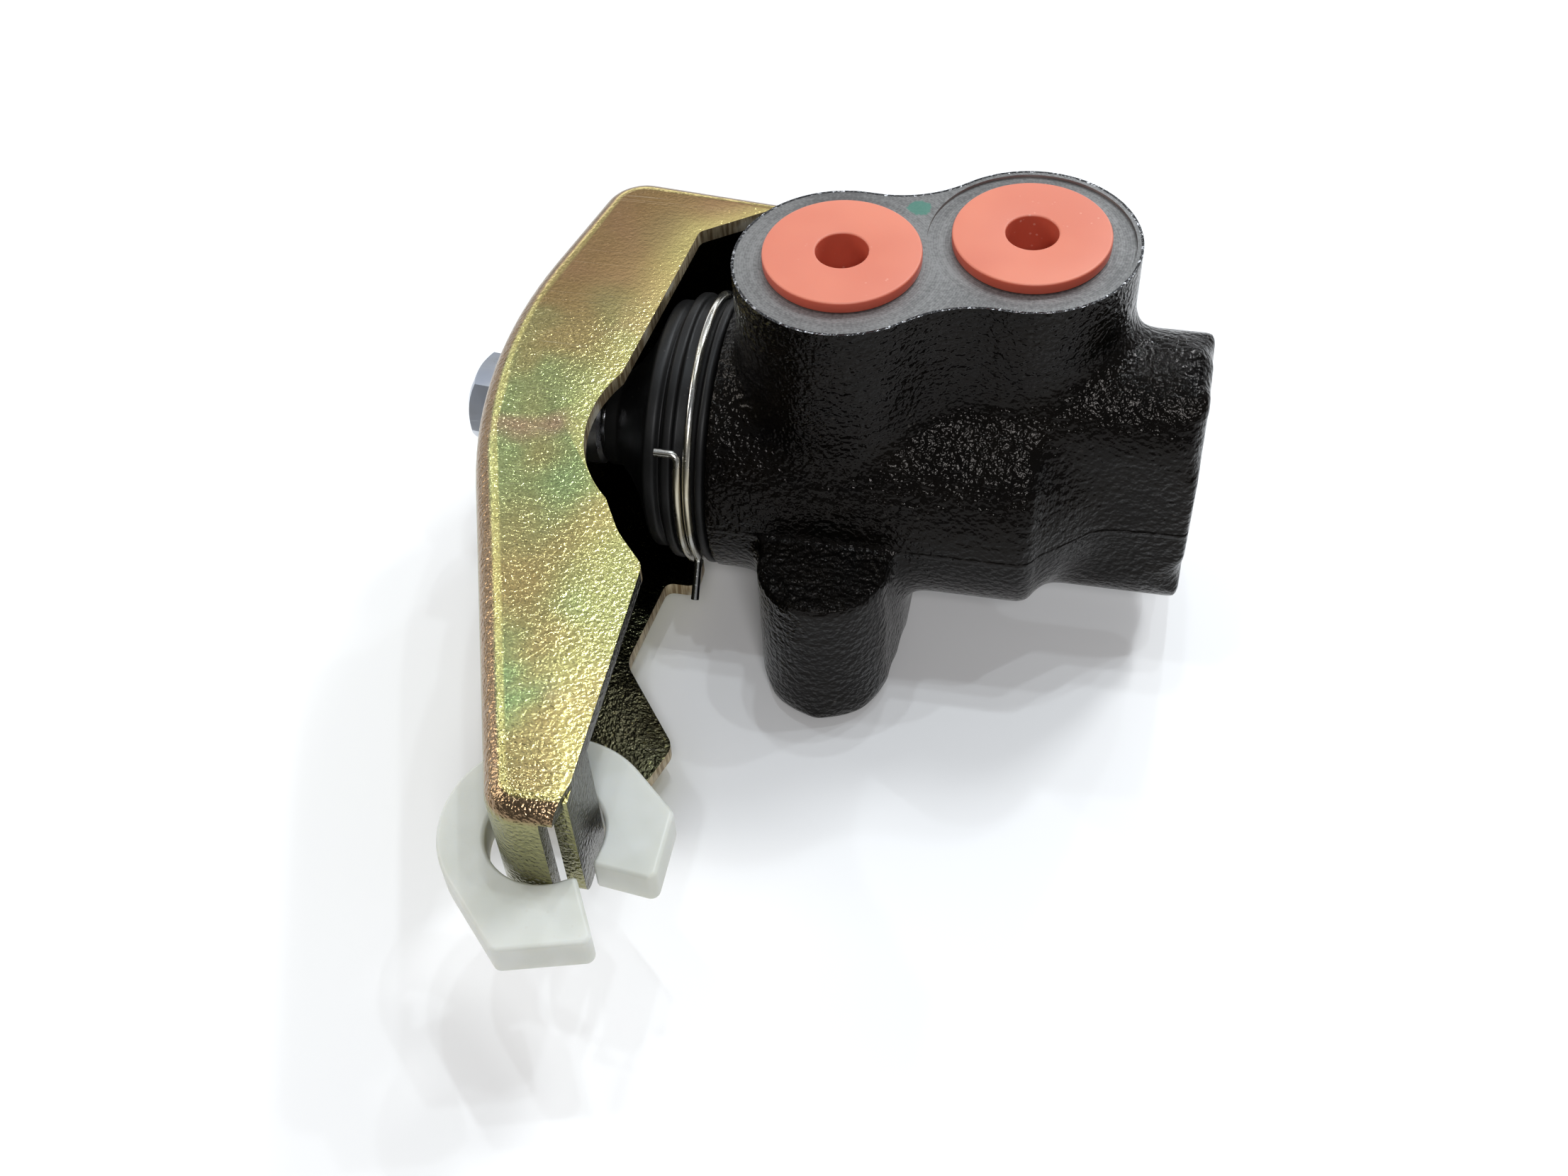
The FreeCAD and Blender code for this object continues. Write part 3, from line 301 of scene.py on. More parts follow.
def makeScratches():
    # thin wandering scratches from stretched, thresholded noise
    tree, start, end = newGroup("hairScratches", [
        ("Vector", "Vector", None), ("Scale", "Float", 60.0), ("Amount", "Float", 0.5)],
        [("Mask", "Float"), ("Height", "Float")])
    total = 0.0
    for degrees in (22, 74, 128):
        turned = addNode(tree, "Mapping", None, Vector=start.outputs["Vector"],
                         Rotation=(0.3, 0.2, math.radians(degrees)), Scale=(0.25, 22.0, 0.25))
        noise = addNode(tree, "TexNoise", None, Vector=turned.outputs["Vector"],
                        Scale=start.outputs["Scale"], Detail=0.0)
        line = mapRange(tree, calc(tree, "ABSOLUTE", calc(tree, "SUBTRACT", noise.outputs["Fac"], 0.5)),
                        0.006, 0.001)
        gap = addNode(tree, "TexNoise", None, Vector=turned.outputs["Vector"], Scale=14.0)
        line = calc(tree, "MULTIPLY", line, mapRange(tree, gap.outputs["Fac"], 0.55, 0.65))
        total = calc(tree, "MAXIMUM", line, total)
    mask = calc(tree, "MULTIPLY", total, start.outputs["Amount"])
    tree.links.new(mask, end.inputs["Mask"])
    tree.links.new(calc(tree, "MULTIPLY", mask, -0.02), end.inputs["Height"])
    return tree


grain = makeGrain()
dust = makeDust()
turning = makeTurning()
scratches = makeScratches()
print("shared shader groups built")


# Materials
paintLook = {"base": (0.0015, 0.0015, 0.0018, 1), "warm": (0.004, 0.003, 0.002, 1), "roughness": 0.1,
             "pebble": 1100.0, "pebbleHeight": 0.48, "lineHeight": 0.2, "lineZ": 27.0,
             "ledgeHeight": 1.5}


def makePaint():
    # thick gloss black over an as-cast skin, rougher on the lug's top, with a faint mould line
    look = paintLook
    material, tree, surface, place = newMaterial("castingPaint", Specular_IOR_Level=0.13,
                                                 Specular_Tint=(1.0, 0.94, 0.89, 1.0))
    parts = addNode(tree, "SeparateXYZ", None, Vector=place).outputs
    normal = addNode(tree, "NewGeometry").outputs["Normal"]
    upward = addNode(tree, "SeparateXYZ", None, Vector=normal).outputs["Z"]
    ledge = calc(tree, "MULTIPLY", mapRange(tree, upward, 0.85, 0.97),
                 mapRange(tree, parts["Y"], 0.012, 0.007))
    rise = mapRange(tree, ledge, 0.0, 1.0, look["pebbleHeight"], look["ledgeHeight"])
    skin = useGroup(tree, grain, Vector=place, Pebble=look["pebble"], Pebble_Height=rise,
                    Wave=170.0, Wave_Height=0.3, Tooth=3200.0, Tooth_Height=0.04)
    offset = calc(tree, "ABSOLUTE", calc(tree, "SUBTRACT", parts["Z"], look["lineZ"] * mm))
    line = calc(tree, "MULTIPLY", mapRange(tree, offset, 0.0006, 0.0001), look["lineHeight"])
    base = mixColor(tree, skin["Cloud"], look["base"], look["warm"])
    dusty = useGroup(tree, dust, Vector=place, Color=base, Specks=0.08, Film=0.0, Scale=520.0)
    rough = mapRange(tree, skin["Cloud"], 0.35, 0.7, look["roughness"], look["roughness"] + 0.06)
    rough = calc(tree, "ADD", rough, calc(tree, "MULTIPLY", dusty["Mask"], 0.4))
    linkSurface(tree, surface, calc(tree, "ADD", skin["Height"], line), 0.9,
                Base_Color=dusty["Color"], Roughness=rough)
    return material


portPlaces = {"inlet": (-0.53, 22.43), "outlet": (24.53, 30.57)}
faceLook = {"base": (0.11, 0.108, 0.105, 1), "pale": (0.25, 0.247, 0.24, 1), "pitch": 0.34,
            "dotPlace": (8.2, 35.2), "dotRadius": 1.9, "dotColor": (0.05, 0.22, 0.16, 1)}


def makeFace(name, centre):
    # milled iron with rings round one port, specks and the smudge of an inspector's green mark
    look = faceLook
    material, tree, surface, place = newMaterial(name, Metallic=0.75)
    local = addNode(tree, "Mapping", None, Vector=place,
                    Location=(-centre[0] * mm, -centre[1] * mm, 0)).outputs["Vector"]
    rings = useGroup(tree, turning, Vector=local, Pitch=look["pitch"], Height=0.005)
    skin = useGroup(tree, grain, Vector=place, Pebble=2200.0, Pebble_Height=0.02, Wave=60.0,
                    Wave_Height=0.0, Tooth=6000.0, Tooth_Height=0.012)
    speckle = addNode(tree, "TexNoise", None, Vector=place, Scale=2600.0, Detail=2.0).outputs["Fac"]
    tone = calc(tree, "ADD", calc(tree, "MULTIPLY", rings["Tone"], 0.12),
                calc(tree, "MULTIPLY", skin["Cloud"], 0.43))
    tone = calc(tree, "ADD", tone, calc(tree, "MULTIPLY", speckle, 0.45))
    base = mixColor(tree, mapRange(tree, tone, 0.35, 0.68), look["base"], look["pale"])
    dotAt = addNode(tree, "Mapping", None, Vector=place,
                    Location=(-look["dotPlace"][0] * mm, -look["dotPlace"][1] * mm, -0.0645))
    ragged = addNode(tree, "TexNoise", None, Vector=place, Scale=1100.0, Detail=2.0).outputs["Fac"]
    away = addNode(tree, "VectorMath", {"operation": "LENGTH"}, i0=dotAt.outputs["Vector"]).outputs["Value"]
    away = calc(tree, "ADD", away, calc(tree, "MULTIPLY", ragged, 0.0014))
    dot = mapRange(tree, away, look["dotRadius"] * mm + 0.0006, look["dotRadius"] * mm + 0.0002)
    base = mixColor(tree, calc(tree, "MULTIPLY", dot, 0.8), base, look["dotColor"])
    dusty = useGroup(tree, dust, Vector=place, Color=base, Dust=(0.55, 0.55, 0.54, 1), Specks=0.5,
                     Film=0.12, Scale=1500.0, Roughness=0.42)
    linkSurface(tree, surface, calc(tree, "ADD", rings["Height"], skin["Height"]), 0.8,
                Base_Color=dusty["Color"], Roughness=dusty["Roughness"])
    return material


def makeRim():
    # narrow edge where the cutter broke the paint: black with bright nicks
    material, tree, surface, place = newMaterial("chippedRim", Specular_IOR_Level=0.4)
    chips = addNode(tree, "TexNoise", None, Vector=place, Scale=1300.0, Detail=3.0, Roughness=0.7)
    nick = mapRange(tree, chips.outputs["Fac"], 0.56, 0.60)
    base = mixColor(tree, nick, (0.006, 0.006, 0.007, 1), (0.42, 0.42, 0.43, 1))
    skin = useGroup(tree, grain, Vector=place, Pebble=1700.0, Pebble_Height=0.4, Wave=500.0, Wave_Height=0.3)
    linkSurface(tree, surface, skin["Height"], 0.9, Base_Color=base, Metallic=nick,
                Roughness=mapRange(tree, chips.outputs["Fac"], 0.4, 0.7, 0.22, 0.45))
    return material


def makeBoreSteel():
    # bored and threaded iron inside the holes
    material, tree, surface, place = newMaterial("boredIron", Metallic=0.85)
    skin = useGroup(tree, grain, Vector=place, Pebble=1600.0, Pebble_Height=0.03, Wave=120.0,
                    Wave_Height=0.05, Tooth=5000.0, Tooth_Height=0.01)
    height = addNode(tree, "SeparateXYZ", None, Vector=place).outputs["Z"]
    thread = calc(tree, "SINE", calc(tree, "MULTIPLY", height, math.tau / (1.25 * mm)))
    base = mixColor(tree, skin["Cloud"], (0.16, 0.15, 0.145, 1), (0.28, 0.27, 0.26, 1))
    rough = mapRange(tree, skin["Cloud"], 0.3, 0.7, 0.35, 0.55)
    linkSurface(tree, surface, calc(tree, "ADD", skin["Height"], calc(tree, "MULTIPLY", thread, 0.12)),
                0.8, Base_Color=base, Roughness=rough)
    return material


plugLook = {"base": (0.62, 0.19, 0.115, 1), "mottleAndSideShade": (0.46, 0.075, 0.04, 1), "roughness": 0.46}


def makePlugPlastic():
    # soft orange plastic, a little paler where the mould left it rough, with clouds of deeper orange and the
    # same deeper orange painted on its sides and in its hollow as shade
    look = plugLook
    material, tree, surface, place = newMaterial("orangePlug", Subsurface_Weight=0.12, Subsurface_Scale=0.002,
                                                 Subsurface_Radius=(1.0, 0.3, 0.15))
    skin = useGroup(tree, grain, Vector=place, Pebble=420.0, Pebble_Height=0.05, Wave=70.0,
                    Wave_Height=0.12, Tooth=2600.0, Tooth_Height=0.012)
    normal = addNode(tree, "NewGeometry").outputs["Normal"]
    upward = addNode(tree, "SeparateXYZ", None, Vector=normal).outputs["Z"]
    # the deeper orange comes in random clouds, and as painted shade on faces that turn away from up: the
    # sides and the hollow
    mottleAndShade = calc(tree, "MAXIMUM", mapRange(tree, skin["Cloud"], 0.3, 0.75, 0.0, 0.35),
                  mapRange(tree, upward, 0.9, 0.2))
    base = mixColor(tree, mottleAndShade, look["base"], look["mottleAndSideShade"])
    dusty = useGroup(tree, dust, Vector=place, Color=base, Dust=(0.75, 0.45, 0.36, 1), Specks=0.35,
                     Film=0.08, Scale=700.0, Roughness=look["roughness"])
    linkSurface(tree, surface, skin["Height"], 0.5, Base_Color=dusty["Color"], Roughness=dusty["Roughness"])
    return material


# the fold, crease and steep-wall colours stand for light: a painted dim reflection, a painted highlight and
# painted shade; the near-black inside colour is painted shade
zincLook = {"gold": (0.46, 0.36, 0.15, 1), "green": (0.33, 0.44, 0.19, 1), "pink": (0.50, 0.31, 0.21, 1),
            "tan": (0.52, 0.32, 0.15, 1), "dimFoldReflection": (0.28, 0.19, 0.11, 1), "steepWallShade": (0.26, 0.28, 0.13, 1),
            "creaseHighlight": (0.90, 0.80, 0.30, 1), "insideShade": (0.035, 0.033, 0.022, 1), "roughness": 0.2}


def makeZinc(name, shadedInside):
    # yellow passivated zinc: hues drift over a finely dimpled sheet; round the folds a dim reflection, a
    # crease highlight and shade on steep walls are painted into the colour, and with the inside flag the
    # sheet is painted near black as shade
    look = zincLook
    material, tree, surface, place = newMaterial(name, Metallic=1.0)
    drift = addNode(tree, "TexNoise", None, Vector=place, Scale=34.0, Detail=2.0,
                    Distortion=0.5).outputs["Fac"]
    apart = addNode(tree, "Mapping", None, Vector=place, Location=(0.31, 0.17, 0.23)).outputs["Vector"]
    blush = addNode(tree, "TexNoise", None, Vector=apart, Scale=46.0, Detail=2.5,
                    Distortion=0.4).outputs["Fac"]
    fine = addNode(tree, "TexNoise", None, Vector=place, Scale=1500.0, Detail=3.0).outputs["Fac"]
    along = addNode(tree, "SeparateXYZ", None, Vector=place).outputs["Y"]
    normal = addNode(tree, "NewGeometry").outputs["Normal"]
    upward = addNode(tree, "SeparateXYZ", None, Vector=normal).outputs["Z"]
    flat = calc(tree, "ABSOLUTE", upward)
    smooth = mapRange(tree, along, 0.014, 0.034)
    base = mixColor(tree, mapRange(tree, drift, 0.40, 0.60), look["gold"], look["green"])
    base = mixColor(tree, mapRange(tree, blush, 0.50, 0.66, 0.0, 0.85), base, look["pink"])
    base = mixColor(tree, calc(tree, "MULTIPLY", smooth, 0.75), base, look["tan"])
    # painted dim reflection: brown on the faces that start to tilt into a fold
    base = mixColor(tree, mapRange(tree, flat, 0.985, 0.9), base, look["dimFoldReflection"])
    # painted highlight: a thin bright yellow band along each crease
    creaseHighlightBand = calc(tree, "MULTIPLY", mapRange(tree, flat, 0.999, 0.992), mapRange(tree, flat, 0.93, 0.97))
    base = mixColor(tree, calc(tree, "MULTIPLY", creaseHighlightBand, 0.5), base, look["creaseHighlight"])
    # painted shade: steep walls turn dark teal
    base = mixColor(tree, mapRange(tree, flat, 0.5, 0.2, 0.0, 0.75), base, look["steepWallShade"])
    # painted shade: inside the channel the colour goes almost to black
    if shadedInside:
        base = mixColor(tree, mapRange(tree, fine, 0.62, 0.78, 0.96, 0.5), base, look["insideShade"])
    rise = mapRange(tree, smooth, 0.0, 1.0, 0.34, 0.09)
    skin = useGroup(tree, grain, Vector=place, Pebble=1700.0, Pebble_Height=rise, Wave=70.0,
                    Wave_Height=0.25, Tooth=3600.0, Tooth_Height=0.05)
    marks = useGroup(tree, scratches, Vector=place, Scale=45.0, Amount=0.3)
    base = mixColor(tree, marks["Mask"], base, (0.75, 0.70, 0.55, 1))
    dusty = useGroup(tree, dust, Vector=place, Color=base, Dust=(0.80, 0.76, 0.58, 1), Specks=0.2,
                     Film=0.0, Scale=1700.0, Roughness=look["roughness"])
    rough = calc(tree, "ADD", dusty["Roughness"], mapRange(tree, fine, 0.35, 0.7, -0.02, 0.04))
    linkSurface(tree, surface, calc(tree, "ADD", skin["Height"], marks["Height"]), 0.7,
                Base_Color=dusty["Color"], Roughness=rough)
    return material


def makeZincEdge():
    # sheared edge of the sheet: fine tear lines across it, duller and browner than the faces
    material, tree, surface, place = newMaterial("shearedZinc", Metallic=0.85)
    across = addNode(tree, "Mapping", None, Vector=place, Scale=(1.0, 1.0, 0.08)).outputs["Vector"]
    tears = addNode(tree, "TexNoise", None, Vector=across, Scale=2200.0, Detail=2.0).outputs["Fac"]
    cloud = addNode(tree, "TexNoise", None, Vector=place, Scale=160.0, Detail=3.0).outputs["Fac"]
    base = mixColor(tree, mapRange(tree, tears, 0.35, 0.65), (0.24, 0.17, 0.09, 1), (0.55, 0.46, 0.30, 1))
    base = mixColor(tree, mapRange(tree, cloud, 0.55, 0.75), base, (0.62, 0.58, 0.48, 1))
    rough = mapRange(tree, cloud, 0.3, 0.7, 0.34, 0.6)
    linkSurface(tree, surface, calc(tree, "MULTIPLY", tears, 0.10), 0.8, Base_Color=base, Roughness=rough)
    return material


def makeRubber(name, gloss):
    # moulded rubber with a soft bloom; gloss shifts its roughness
    material, tree, surface, place = newMaterial(name, Specular_IOR_Level=0.26)
    skin = useGroup(tree, grain, Vector=place, Pebble=700.0, Pebble_Height=0.05, Wave=60.0,
                    Wave_Height=0.15, Tooth=3200.0, Tooth_Height=0.02)
    base = mixColor(tree, mapRange(tree, skin["Cloud"], 0.35, 0.7), (0.003, 0.003, 0.0032, 1),
                    (0.008, 0.0078, 0.0075, 1))
    dusty = useGroup(tree, dust, Vector=place, Color=base, Specks=0.22, Film=0.015, Scale=800.0,
                     Roughness=0.44 - gloss)
    linkSurface(tree, surface, skin["Height"], 0.5, Base_Color=dusty["Color"], Roughness=dusty["Roughness"])
    return material


def makeSteel(name, base, tint, roughness, marks=0.4, pitch=0.3):
    # bright or plated steel with drawing marks, light scratches and a drifting tint
    material, tree, surface, place = newMaterial(name, Metallic=1.0)
    skin = useGroup(tree, grain, Vector=place, Pebble=1500.0, Pebble_Height=0.015, Wave=140.0,
                    Wave_Height=0.04, Tooth=5200.0, Tooth_Height=0.006)
    lines = useGroup(tree, scratches, Vector=place, Scale=90.0, Amount=marks)
    color = mixColor(tree, mapRange(tree, skin["Cloud"], 0.35, 0.68), base, tint)
    color = mixColor(tree, lines["Mask"], color, (0.85, 0.85, 0.83, 1))
    rough = mapRange(tree, skin["Cloud"], 0.3, 0.7, roughness, roughness + pitch * 0.5)
    linkSurface(tree, surface, calc(tree, "ADD", skin["Height"], lines["Height"]), 0.6,
                Base_Color=color, Roughness=rough)
    return material


def makeMilkyPlastic(name, base, shade, weight, roughness=0.42):
    # cloudy polymer: subsurface glow, faint flow clouds, scuffs and dust
    material, tree, surface, place = newMaterial(name, Subsurface_Weight=weight, Subsurface_Scale=0.004,
                                                 Subsurface_Radius=(1.0, 0.85, 0.6))
    skin = useGroup(tree, grain, Vector=place, Pebble=500.0, Pebble_Height=0.05, Wave=110.0,
                    Wave_Height=0.2, Tooth=2600.0, Tooth_Height=0.015)
    marks = useGroup(tree, scratches, Vector=place, Scale=60.0, Amount=0.25)
    color = mixColor(tree, mapRange(tree, skin["Cloud"], 0.35, 0.7), base, shade)
    color = mixColor(tree, marks["Mask"], color, (0.55, 0.52, 0.45, 1))
    dusty = useGroup(tree, dust, Vector=place, Color=color, Dust=(0.5, 0.47, 0.4, 1), Specks=0.25,
                     Film=0.03, Scale=600.0, Roughness=roughness)
    linkSurface(tree, surface, calc(tree, "ADD", skin["Height"], marks["Height"]), 0.5,
                Base_Color=dusty["Color"], Roughness=dusty["Roughness"])
    return material


paint = makePaint()
inletFace = makeFace("milledFace", portPlaces["inlet"])
outletFace = makeFace("spotFace", portPlaces["outlet"])
chippedRim = makeRim()
boredIron = makeBoreSteel()
plugPlastic = makePlugPlastic()
zinc = makeZinc("yellowZinc", False)
insideShadeZinc = makeZinc("insideShadeZinc", True)
zincEdge = makeZincEdge()
bootRubber = makeRubber("bootRubber", 0.0)
sealRubber = makeRubber("sealRubber", 0.12)
wireSteel = makeSteel("springWire", (0.62, 0.62, 0.60, 1), (0.55, 0.50, 0.38, 1), 0.16)
platedSteel = makeSteel("platedSteel", (0.60, 0.63, 0.68, 1), (0.42, 0.45, 0.52, 1), 0.26)
pinSteel = makeSteel("pinSteel", (0.52, 0.50, 0.46, 1), (0.40, 0.37, 0.30, 1), 0.3)
groundSteel = makeSteel("groundSteel", (0.56, 0.56, 0.57, 1), (0.48, 0.48, 0.50, 1), 0.18, 0.2)
blackSteel = makeSteel("blackedSteel", (0.10, 0.10, 0.11, 1), (0.16, 0.13, 0.10, 1), 0.34)
bronze = makeSteel("bushBronze", (0.52, 0.34, 0.16, 1), (0.38, 0.25, 0.12, 1), 0.34)
bushPlastic = makeMilkyPlastic("bushPlastic", (0.58, 0.59, 0.55, 1), (0.52, 0.53, 0.475, 1), 0.3)
capPlastic = makeMilkyPlastic("capPlastic", (0.50, 0.49, 0.50, 1), (0.42, 0.41, 0.42, 1), 0.15)
ringPlastic = makeMilkyPlastic("ringPlastic", (0.70, 0.66, 0.55, 1), (0.62, 0.58, 0.46, 1), 0.25)
print("materials built")


# Casting
castingForm = {
    "axisY": 24.5, "axisZ": 27.0, "portY": 26.5, "portX": 12.0, "yaw": 18.0, "halfPitch": 13.175,
    "lobe": 15.3, "waist": 16.1, "faceZ": 64.5, "spare": 3.0, "columnLow": 24.0,
    "inlet": portPlaces["inlet"], "outlet": portPlaces["outlet"],
    "barrel": [(-24, 0), (-24, 17.4), (-23.4, 18), (-18.5, 18), (-18.5, 21), (28.0, 21), (29.4, 20.4),
               (30.2, 19), (38.5, 12), (44, 12), (44, 0)],
    "boss": 11.5, "bossLow": 9.0, "bossHigh": 14.0, "bossStart": 8.0, "bossEnd": 51.4, "endHoles": 9.0,
    "lug": 9.7, "lugBack": 8.0, "lugSpread": 10.6, "ear": 6.3, "earPlace": (-6.5, 45.5), "earZ": (7.6, 46.4),
    "voxel": 0.62, "seam": 14, "spread": 6, "passes": 60, "skinFrom": -17.5,
    "rim": 0.38, "spot": 14.4, "spotDepth": 0.5,
}


def castingLump():
    # barrel, boss, columns, lug and ear poured together, before the skin is drawn over them
    form = castingForm
    axis = (0, form["axisY"], form["axisZ"])
    lump = spun(form["barrel"], axis, (1, 0, 0), 90)
    low, high = form["bossLow"], form["bossHigh"]
    radius = form["boss"]
    acrossX = Matrix.Translation(point(*axis)) @ Matrix.Rotation(math.radians(90), 4, "Y")
    addTo(lump, prism((-high, radius), [(-high, 0, 180), (low, -radius), (low, 0, 180)],
                      form["bossStart"], form["bossEnd"], acrossX))
    half = form["halfPitch"]
    reach = form["lobe"] + form["waist"]
    lift = math.sqrt(reach ** 2 - half ** 2)
    lean = math.degrees(math.asin(lift / reach))
    share = form["lobe"] / reach
    turned = Matrix.Translation(point(form["portX"], form["portY"])) @ Matrix.Rotation(
        math.radians(form["yaw"]), 4, "Z")
    touch = (half - half * share, -lift * share)
    lobe, waist = 360 - 2 * lean, 2 * lean - 180
    addTo(lump, prism(touch, [(half, 0, lobe), (0, lift, waist), (-half, 0, lobe), (0, -lift, waist)],
                      form["columnLow"], form["faceZ"] + form["spare"], turned))
    wide, back, root = form["lugSpread"], form["lugBack"], form["portY"] - 4.5
    addTo(lump, prism((-wide, root), [(-wide, back), (-form["lug"], 0), (0, 0, 180), (wide, back),
                                      (wide, root)], 0, form["axisZ"]))
    x, y = form["earPlace"]
    side = form["ear"]
    addTo(lump, prism((x - side, 31), [(x + side, 31), (x + side, y), (x, y, 180)], *form["earZ"]))
    return lump


def smoothSkin(bm):
    # fills the inside corners with the soft fillets that sand moulds leave
    form = castingForm
    limit = math.radians(-form["seam"])
    chosen = set()
    for edge in bm.edges:
        if len(edge.link_faces) == 2 and edge.calc_face_angle_signed() < limit:
            middle = (edge.verts[0].co + edge.verts[1].co) / 2 / mm
            lugTop = abs(middle.x) < 11 and middle.y < 8 and middle.z > 22 and middle.z < 32
            if middle.x > form["skinFrom"] and not lugTop:
                chosen.update(edge.verts)
    for ring in range(form["spread"]):
        chosen.update([edge.other_vert(vert) for vert in list(chosen) for edge in vert.link_edges])
    chosen = [vert for vert in chosen if vert.co.x > form["skinFrom"] * mm and vert.co.z < 63 * mm]
    for turn in range(form["passes"]):
        bmesh.ops.smooth_vert(bm, verts=chosen, factor=0.5, use_axis_x=True, use_axis_y=True,
                              use_axis_z=True)
    everywhere = [vert for vert in bm.verts if vert.co.x > form["skinFrom"] * mm]
    for turn in range(4):
        bmesh.ops.smooth_vert(bm, verts=everywhere, factor=0.5, use_axis_x=True, use_axis_y=True,
                              use_axis_z=True)


def bakeModifiers(piece):
    # keeps the mesh that the modifiers make, and drops the modifiers
    bpy.context.view_layer.update()
    seen = piece.evaluated_get(bpy.context.evaluated_depsgraph_get())
    mesh = bpy.data.meshes.new_from_object(seen, preserve_all_data_layers=True,
                                           depsgraph=bpy.context.evaluated_depsgraph_get())
    piece.modifiers.clear()
    piece.data = mesh
    return mesh


def looseObject(name, bm, materials=()):
    mesh = bpy.data.meshes.new(name)
    bm.to_mesh(mesh)
    bm.free()
    for material in materials:
        mesh.materials.append(material)
    piece = bpy.data.objects.new(name, mesh)
    bpy.context.scene.collection.objects.link(piece)
    return piece


def buildCasting():
    form = castingForm
    piece = looseObject("castingSkin", castingLump(), [paint])
    remesh = piece.modifiers.new("pour", "REMESH")
    remesh.mode = "VOXEL"
    remesh.voxel_size = form["voxel"] * mm
    mesh = bakeModifiers(piece)
    bm = bmesh.new()
    bm.from_mesh(mesh)
    smoothSkin(bm)
    cut = bmesh.ops.bisect_plane(bm, geom=bm.verts[:] + bm.edges[:] + bm.faces[:], dist=0.001 * mm,
                                 plane_co=point(0, 0, form["faceZ"]), plane_no=(0, 0, 1), clear_outer=True)
    rim = [item for item in cut["geom_cut"] if isinstance(item, bmesh.types.BMEdge)]
    top = bmesh.ops.contextual_create(bm, geom=rim)["faces"]
    inner = bmesh.ops.inset_region(bm, faces=top, thickness=form["rim"] * mm, depth=0.0,
                                   use_boundary=True, use_even_offset=True)
    for face in top:
        face.material_index = 1
    for face in inner["faces"]:
        face.material_index = 4
    bm.to_mesh(mesh)
    bm.free()
    for material in (inletFace, outletFace, boredIron, chippedRim):
        mesh.materials.append(material)
    inlet, outlet, faceZ = form["inlet"], form["outlet"], form["faceZ"]
    floor = faceZ - form["spotDepth"]
    holes = spun([(-26, 0), (-26, 11), (-11, 11), (-11, 9.5), (4, 9.5), (4, 6), (30, 6), (30, 0)],
                 (0, form["axisY"], form["axisZ"]), (1, 0, 0), 72)
    addTo(holes, spun([(-2, 0), (-2, 4.25), (16, 4.25), (18, 0)], (0, 0, 0), (0, 0, 1), 56))
    for side in (-1, 1):
        addTo(holes, spun([(37.4, 0), (37.4, 3.4), (53, 3.4), (53, 0)],
                          (0, form["axisY"], form["axisZ"] + side * form["endHoles"]), (1, 0, 0), 56))
    x, y = form["earPlace"]
    addTo(holes, spun([(0, 0), (0, 3.02), (60, 3.02), (60, 0)], (x, y, 0), (0, 0, 1), 56))
    ports = spun([(27, 0), (27, 2.5), (49.5, 2.5), (49.5, 5.5), (faceZ - 0.4, 5.5), (faceZ, 5.9),
                  (faceZ + 5, 5.9), (faceZ + 5, 0)], (*inlet, 0), (0, 0, 1), 72)
    addTo(ports, spun([(27, 0), (27, 2.5), (49.5, 2.5), (49.5, 5.5), (floor - 0.4, 5.5), (floor, 5.9),
                       (floor, form["spot"]), (faceZ + 5, form["spot"]), (faceZ + 5, 0)],
                      (*outlet, 0), (0, 0, 1), 72))
    for face in ports.faces:
        middle = face.calc_center_median()
        face.material_index = 1 if middle.z > floor * mm - 0.0001 and middle.z < (faceZ - 0.1) * mm else 0
    cutters = [looseObject("boreCutter", holes, [boredIron]),
               looseObject("portCutter", ports, [boredIron, outletFace])]
    for cutter in cutters:
        change = piece.modifiers.new(cutter.name, "BOOLEAN")
        change.operation = "DIFFERENCE"
        change.solver = "EXACT"
        change.material_mode = "TRANSFER"
        change.object = cutter
    mesh = bakeModifiers(piece)
    for cutter in cutters:
        bpy.data.objects.remove(cutter)
    mesh.shade_smooth()
    mesh.set_sharp_from_angle(angle=math.radians(40))
    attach(piece, "housing")
    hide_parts("valve_body")
    print("casting:", len(mesh.polygons), "faces")


buildCasting()


# Port plugs
plugForm = {"flange": 11.0, "thick": 1.8, "hollow": 3.65, "hollowDepth": 10.5, "stem": 5.45,
            "stemLength": 12.0, "round": 0.32}


def buildPlug(name, node, centre, seat):
    form = plugForm
    top = form["thick"]
    bm = spun([(top - form["hollowDepth"], 0), (top - form["hollowDepth"], form["hollow"]),
               (top, form["hollow"]), (top, form["flange"]), (0, form["flange"]), (0, form["stem"]),
               (-form["stemLength"], form["stem"] - 0.3), (-form["stemLength"], 0)],
              (*centre, seat), (0, 0, 1), 120)
    bevelSharp(bm, form["round"], 40, 4)
    finishPiece(name, bm, [plugPlastic], "housing", node)


buildPlug("inletPlug", "inlet_plug", portPlaces["inlet"], 64.52)
buildPlug("outletPlug", "outlet_plug", portPlaces["outlet"], 64.02)
print("plugs built")


# Boot
bootForm = {"axisY": 24.5, "axisZ": 27.0, "round": 0.42, "steps": 144, "held": -25.8, "free": -34.0}


